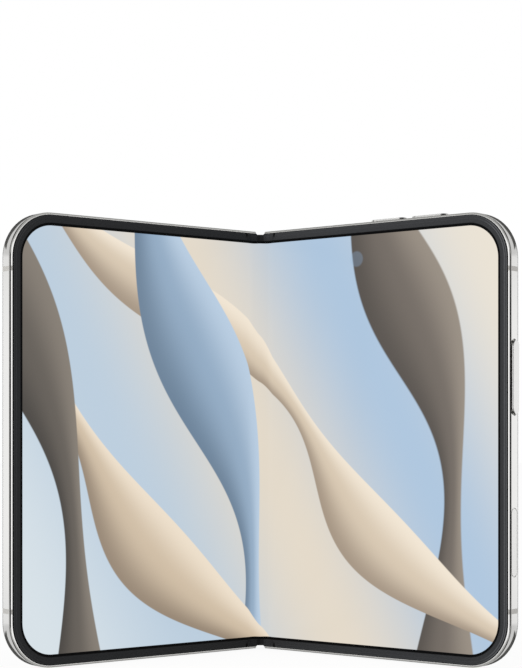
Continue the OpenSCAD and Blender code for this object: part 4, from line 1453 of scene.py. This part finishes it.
@dataclass
class Openings:
    """The contacts in the charging port and the meshes behind the sound openings.

    Args:
        fold: Geometry of the fold.
        shelf: The finishes.
        contacts: Number of contacts on each face of the port's tongue.
        contact_pitch: Spacing of the contacts.
        contact_size: Width, rise and length of a contact.
        contact_start: Distance from the tongue's tip to a contact.
        hole_step: Distance from the port to the first loudspeaker hole.
        hole_pitch: Spacing of the loudspeaker holes.
        holes: Number of loudspeaker holes.
        mesh_radius: Radius of the mesh in a loudspeaker hole.
        mesh_round: Radius of that mesh's edge.
        mesh_depth: How far the meshes lie inside their openings.
        mesh_thickness: Thickness of the meshes.
        slot_size: Width and length of the sound slot's mesh.
        slot_drop: Distance from the glass's upper edge to the slot's middle.
    """

    fold: Fold
    shelf: FinishShelf
    contacts: int = 12
    contact_pitch: float = 0.5 * MM
    contact_size: tuple[float, float, float] = (0.27 * MM, 0.03 * MM, 3.6 * MM)
    contact_start: float = 0.35 * MM
    hole_step: float = 14.0 * MM
    hole_pitch: float = 2.0 * MM
    holes: int = 6
    mesh_radius: float = 0.57 * MM
    mesh_round: float = 0.05 * MM
    mesh_depth: float = 0.45 * MM
    mesh_thickness: float = 0.12 * MM
    slot_size: Span = (8.94 * MM, 0.54 * MM)
    slot_drop: float = 1.1 * MM

    def build(self) -> None:
        """Makes the contacts and both meshes."""
        self.make_contacts()
        self.make_hole_meshes()
        self.make_slot_mesh()

    def make_contacts(self) -> None:
        """Makes the gilt contacts on both faces of the tongue."""
        low, high = self.fold.flat_box("usb_c_tongue", Side.RIGHT)
        width, rise, length = self.contact_size
        middle, start = (low.x + high.x) / 2, low.z + self.contact_start
        first = middle - (self.contacts - 1) / 2 * self.contact_pitch
        piece = Bench.block("port_contacts", (first - width / 2, low.y - rise, start),
                            (first + width / 2, low.y + rise, start + length))
        Bench.round_edges(piece, rise * 0.6, 2, lambda place, way: abs(way.z) > 0.9 and place.y < low.y)
        Bench.repeat(piece, self.contacts, (self.contact_pitch, 0, 0))
        Bench.repeat(piece, 2, (0, high.y - low.y, 0))
        self.finish(piece, Side.RIGHT, self.shelf.made[Metal.GOLD], "gear_brass")

    def make_hole_meshes(self) -> None:
        """Makes the slightly domed mesh in each loudspeaker hole."""
        low, high = self.fold.flat_box("usb_c_tongue", Side.RIGHT)
        centre = ((low.x + high.x) / 2 + self.hole_step, (low.y + high.y) / 2, self.mesh_depth)
        piece = Bench.drum("speaker_mesh", centre, self.mesh_radius, self.mesh_thickness, 24)
        Bench.round_edges(piece, self.mesh_round, 2,
                          lambda place, way: place.z < centre[2] and abs(way.z) < 0.1)
        Bench.repeat(piece, self.holes, (self.hole_pitch, 0, 0))
        self.finish(piece, Side.RIGHT, self.shelf.mesh, "module_black")

    def make_slot_mesh(self) -> None:
        """Makes the mesh in the sound slot of the outer glass."""
        low, high = self.fold.flat_box("earpiece", Side.LEFT)
        _, glass = self.fold.flat_box("cover_glass", Side.LEFT)
        length, width = self.slot_size
        x, z = (low.x + high.x) / 2, glass.z - self.slot_drop
        front = glass.y - self.mesh_depth
        piece = Bench.block("earpiece_mesh", (x - length / 2, front - self.mesh_thickness, z - width / 2),
                            (x + length / 2, front, z + width / 2))
        Bench.round_edges(piece, width * 0.49, 6, lambda place, way: abs(way.y) > 0.9)
        self.finish(piece, Side.LEFT, self.shelf.mesh, "module_black")

    def finish(self, piece: bpy.types.Object, side: Side, finish: bpy.types.Material, slot: str) -> None:
        """Sets a piece in its half, dresses it and notes it in the log.

        Args:
            piece: The piece, whose mesh is in the flat phone's place.
            side: The half that it is on.
            finish: Its material.
            slot: Not used.
        """
        self.fold.settle(piece, side)
        Bench.smooth(piece)
        Bench.dress(piece, finish)
        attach(piece, side.body)
        report(piece)


# ---- Studio ----


@dataclass(frozen=True)
class Tent:
    """What polished metal reflects: a white tent with dark and grey parts, which only glossy rays see.

    Directions are in degrees: round is how far round from the front, steep how far above or below level.
    A pair says where a part is absent and where it is full.

    Args:
        front: Brightness towards the camera.
        sides: Round where each change beside the front starts and ends, and its brightness.
        back: Round where the white back begins.
        back_tone: Its colour.
        back_bends: Steep from which the back's edge moves further round, and by how much a degree.
        flag_tone: Colour of the dark flag behind the phone.
        flag: Round of that flag near level.
        flag_steep: Steep where that low part ends.
        wing: Round of the flag's wings above and below, at the steep of wing_foot.
        wing_foot: Steep at which the wings have the place that wing gives.
        wing_slope: How far the wings move round with each degree.
        wing_rise: Steep where the wings begin.
        wing_end: Steep where they end.
        beside: Round where the sides end and the back takes over.
        dim_tone: Colour that dims the back away from level.
        dim_steep: Steep over which it does.
        dim_most: How much it dims at most.
        ends_tone: Colour of the sides above and below.
        ends_steep: Steep where that colour begins.
        ends_slope: Round from which it begins closer to level, and by how much a degree.
        top_tone: Colour of the tent's top and bottom.
        top_steep: Steep where they begin.
        top_shift: Round where they begin at once, and the steep by which they are moved before it.
        overhead_tone: Colour of the part above and below the front.
        overhead_steep: Steep where it begins.
        overhead_round: Round where it ends.
    """

    front: float = 0.015
    sides: tuple[tuple[float, float, float], ...] = ((58.0, 63.0, 1.05), (80.0, 84.0, 0.02))
    back: Span = (94.0, 104.0)
    back_tone: Colour = (0.90, 0.90, 0.90)
    back_bends: tuple[Span, ...] = ((8.0, 0.5), (38.0, 6.0))
    flag_tone: Colour = (0.07, 0.07, 0.068)
    flag: Span = (141.0, 148.0)
    flag_steep: Span = (18.0, 14.0)
    wing: Span = (128.0, 132.0)
    wing_foot: float = 19.0
    wing_slope: float = 1.14
    wing_rise: Span = (13.0, 15.0)
    wing_end: Span = (31.0, 28.0)
    beside: Span = (86.0, 92.0)
    dim_tone: Colour = (0.10, 0.10, 0.095)
    dim_steep: Span = (2.5, 11.0)
    dim_most: float = 0.35
    ends_tone: Colour = (0.36, 0.36, 0.35)
    ends_steep: Span = (7.3, 7.9)
    ends_slope: Span = (68.0, 0.12)
    top_tone: Colour = (0.30, 0.30, 0.29)
    top_steep: Span = (40.0, 55.0)
    top_shift: tuple[float, float, float] = (150.0, 162.0, -10.0)
    overhead_tone: Colour = (0.04, 0.04, 0.04)
    overhead_steep: Span = (34.0, 44.0)
    overhead_round: Span = (100.0, 86.0)

    def paint(self, sheet: NodeSheet) -> bpy.types.NodeSocket:
        """Gives the tent's colour by direction.

        Args:
            sheet: The world's sheet.

        Returns:
            The colour.
        """
        x, y, z = sheet.split(sheet.add("TexCoord").outputs["Generated"])
        around = sheet.math("DEGREES", sheet.math(
            "ABSOLUTE", sheet.math("ARCTAN2", x, sheet.math("MULTIPLY", y, -1.0))))
        steep = sheet.math("ABSOLUTE", sheet.math("DEGREES", sheet.math("ARCSINE", z)))
        past = [sheet.math("MAXIMUM", sheet.math("SUBTRACT", steep, start), 0.0)
                for start, _ in self.back_bends]
        bends = [sheet.math("MULTIPLY", way, slope) for way, (_, slope) in zip(past, self.back_bends)]
        turned = sheet.math("SUBTRACT", around, sheet.math("ADD", *bends))
        beside = sheet.scaled(around, *self.beside, 0, 1)
        dim = sheet.math("MULTIPLY", beside, sheet.scaled(steep, *self.dim_steep, 0, self.dim_most))
        ends = sheet.math("ADD", steep, sheet.math(
            "MULTIPLY", sheet.math("SUBTRACT", around, self.ends_slope[0]), self.ends_slope[1]))
        ends = sheet.math("MULTIPLY", sheet.scaled(ends, *self.ends_steep, 0, 1),
                          sheet.math("SUBTRACT", 1.0, beside))
        top = sheet.math("ADD", steep, sheet.scaled(around, *self.top_shift, 0.0))
        overhead = sheet.math("MULTIPLY", sheet.scaled(steep, *self.overhead_steep, 0, 1),
                              sheet.scaled(around, *self.overhead_round, 0, 1))
        tone = rgba((self.front,) * 3)
        for start, end, value in self.sides:
            tone = sheet.mix(sheet.scaled(around, start, end, 0, 1), tone, rgba((value,) * 3))
        for share, colour in ((sheet.scaled(turned, *self.back, 0, 1), self.back_tone),
                              (self.rear_flag(sheet, around, steep), self.flag_tone),
                              (dim, self.dim_tone), (ends, self.ends_tone),
                              (sheet.scaled(top, *self.top_steep, 0, 1), self.top_tone),
                              (overhead, self.overhead_tone)):
            tone = sheet.mix(share, tone, rgba(colour))
        return tone

    def rear_flag(self, sheet: NodeSheet, around: bpy.types.NodeSocket,
                  steep: bpy.types.NodeSocket) -> bpy.types.NodeSocket:
        """Masks the dark flag behind the phone, which reaches further forward above and below its sides.

        Args:
            sheet: The world's sheet.
            around: Degrees round from the front.
            steep: Degrees above or below level.

        Returns:
            The mask.
        """
        low = sheet.math("MULTIPLY", sheet.scaled(around, *self.flag, 0, 1),
                         sheet.scaled(steep, *self.flag_steep, 0, 1))
        reach = sheet.math("SUBTRACT", around, sheet.math(
            "MULTIPLY", sheet.math("SUBTRACT", steep, self.wing_foot), self.wing_slope))
        height = sheet.math("MULTIPLY", sheet.scaled(steep, *self.wing_rise, 0, 1),
                            sheet.scaled(steep, *self.wing_end, 0, 1))
        wings = sheet.math("MULTIPLY", sheet.scaled(reach, *self.wing, 0, 1), height)
        return sheet.math("MAXIMUM", low, wings)


@dataclass
class Studio:
    """A white sweep, soft light and the camera.

    Args:
        lens: Focal length in millimetres, on a sensor of the width below.
        sensor: Width of the sensor in millimetres.
        eye: Place of the camera.
        shift: The lens's shift across and up.
        tent: What polished metal reflects.
        ambient: Brightness of the surroundings' plain light.
        floor_size: Side of the floor.
        floor_drop: How far it lies below the phone's feet.
        floor_glow: Share of plain white in the floor, where it is looked at or reflected.
        aim: The point that the lamps face.
        lamp_size: Side of a lamp's square.
    """

    lens: float = 92.3
    sensor: float = 36.0
    eye: tuple[float, float, float] = (0.0, -0.47398, 0.06035)
    shift: Span = (0.00105, 0.1587)
    tent: Tent = Tent()
    ambient: float = 0.78
    floor_size: float = 8.0
    floor_drop: float = 0.2 * MM
    floor_glow: float = 0.92
    aim: tuple[float, float, float] = (0.0, 0.0, 0.06)
    lamp_size: float = 0.9

    def build(self) -> None:
        """Makes the camera, the surroundings, the floor and the lamps."""
        self.make_camera()
        self.make_world()
        self.make_floor()
        self.make_light("key", (-0.9, -0.5, 0.5), 8.0)
        self.make_light("fill", (0.9, -0.4, 0.4), 2.5)

    def make_camera(self) -> None:
        """Makes the camera, level at the middle of the phone's height."""
        data = bpy.data.cameras.new("camera")
        data.lens, data.sensor_width = self.lens, self.sensor
        data.shift_x, data.shift_y = self.shift
        data.clip_start, data.clip_end = 0.01, 20
        camera = bpy.data.objects.new("camera", data)
        camera.location, camera.rotation_euler = self.eye, (math.pi / 2, 0, 0)
        bpy.context.scene.collection.objects.link(camera)
        bpy.context.scene.camera = camera

    def make_world(self) -> None:
        """Makes the surroundings: plain white to the eye, and the tent for reflections."""
        world = bpy.data.worlds.new("studio")
        world.use_nodes = True
        sheet = NodeSheet(world.node_tree)
        path = sheet.add("LightPath").outputs
        plain = sheet.mix(path["Is Camera Ray"], rgba((self.ambient,) * 3), (1, 1, 1, 1))
        sheet.put(world.node_tree.nodes["Background"], Strength=1.0,
                  Color=sheet.mix(path["Is Glossy Ray"], plain, self.tent.paint(sheet)))
        bpy.context.scene.world = world
        bpy.context.scene.view_settings.view_transform = "Standard"

    def make_floor(self) -> None:
        """Makes the white floor, which keeps the phone's soft shadow."""
        Bench.clear()
        bpy.ops.mesh.primitive_plane_add(size=self.floor_size, location=(0, 0, -self.floor_drop))
        floor = bpy.context.active_object
        floor.name = "floor"
        material, sheet, shader = new_material("white_floor")
        sheet.put(shader, Base_Color=(0.9, 0.9, 0.9, 1), Roughness=0.9)
        path = sheet.add("LightPath").outputs
        seen = sheet.math("MAXIMUM", path["Is Camera Ray"],
                          sheet.math("MAXIMUM", path["Is Glossy Ray"], path["Is Transmission Ray"]))
        glow = sheet.put(sheet.add("Emission"), Color=(1, 1, 1, 1), Strength=1.0)
        mix = sheet.put(sheet.add("MixShader"), _0=sheet.math("MULTIPLY", seen, self.floor_glow),
                        _1=shader.outputs[0], _2=glow.outputs[0])
        sheet.put(material.node_tree.nodes["Material Output"], Surface=mix.outputs[0])
        Bench.dress(floor, material)
        floor.visible_glossy = False

    def make_light(self, name: str, place: Sequence[float], power: float) -> None:
        """Hangs a large soft lamp that faces the phone's middle.

        Args:
            name: The lamp's name.
            place: Its place.
            power: Its power in watts.
        """
        data = bpy.data.lights.new(name, "AREA")
        data.energy, data.size = power, self.lamp_size
        light = bpy.data.objects.new(name, data)
        light.location = place
        light.rotation_euler = (Vector(self.aim) - Vector(place)).to_track_quat("-Z", "Y").to_euler()
        light.visible_glossy = False
        bpy.context.scene.collection.objects.link(light)


def main() -> None:
    """Builds the phone's pieces and the studio."""
    fold = Fold.from_frame()
    log.info("fold of %.1f degrees, display face at %.5f", math.degrees(fold.angle), fold.face_y)
    Studio().build()
    shelf = FinishShelf(fold)
    shelf.dress_nodes()
    InnerScreen(fold, shelf).build()
    Openings(fold, shelf).build()


if __name__ == "__main__":
    logging.basicConfig(level=logging.INFO)
    main()
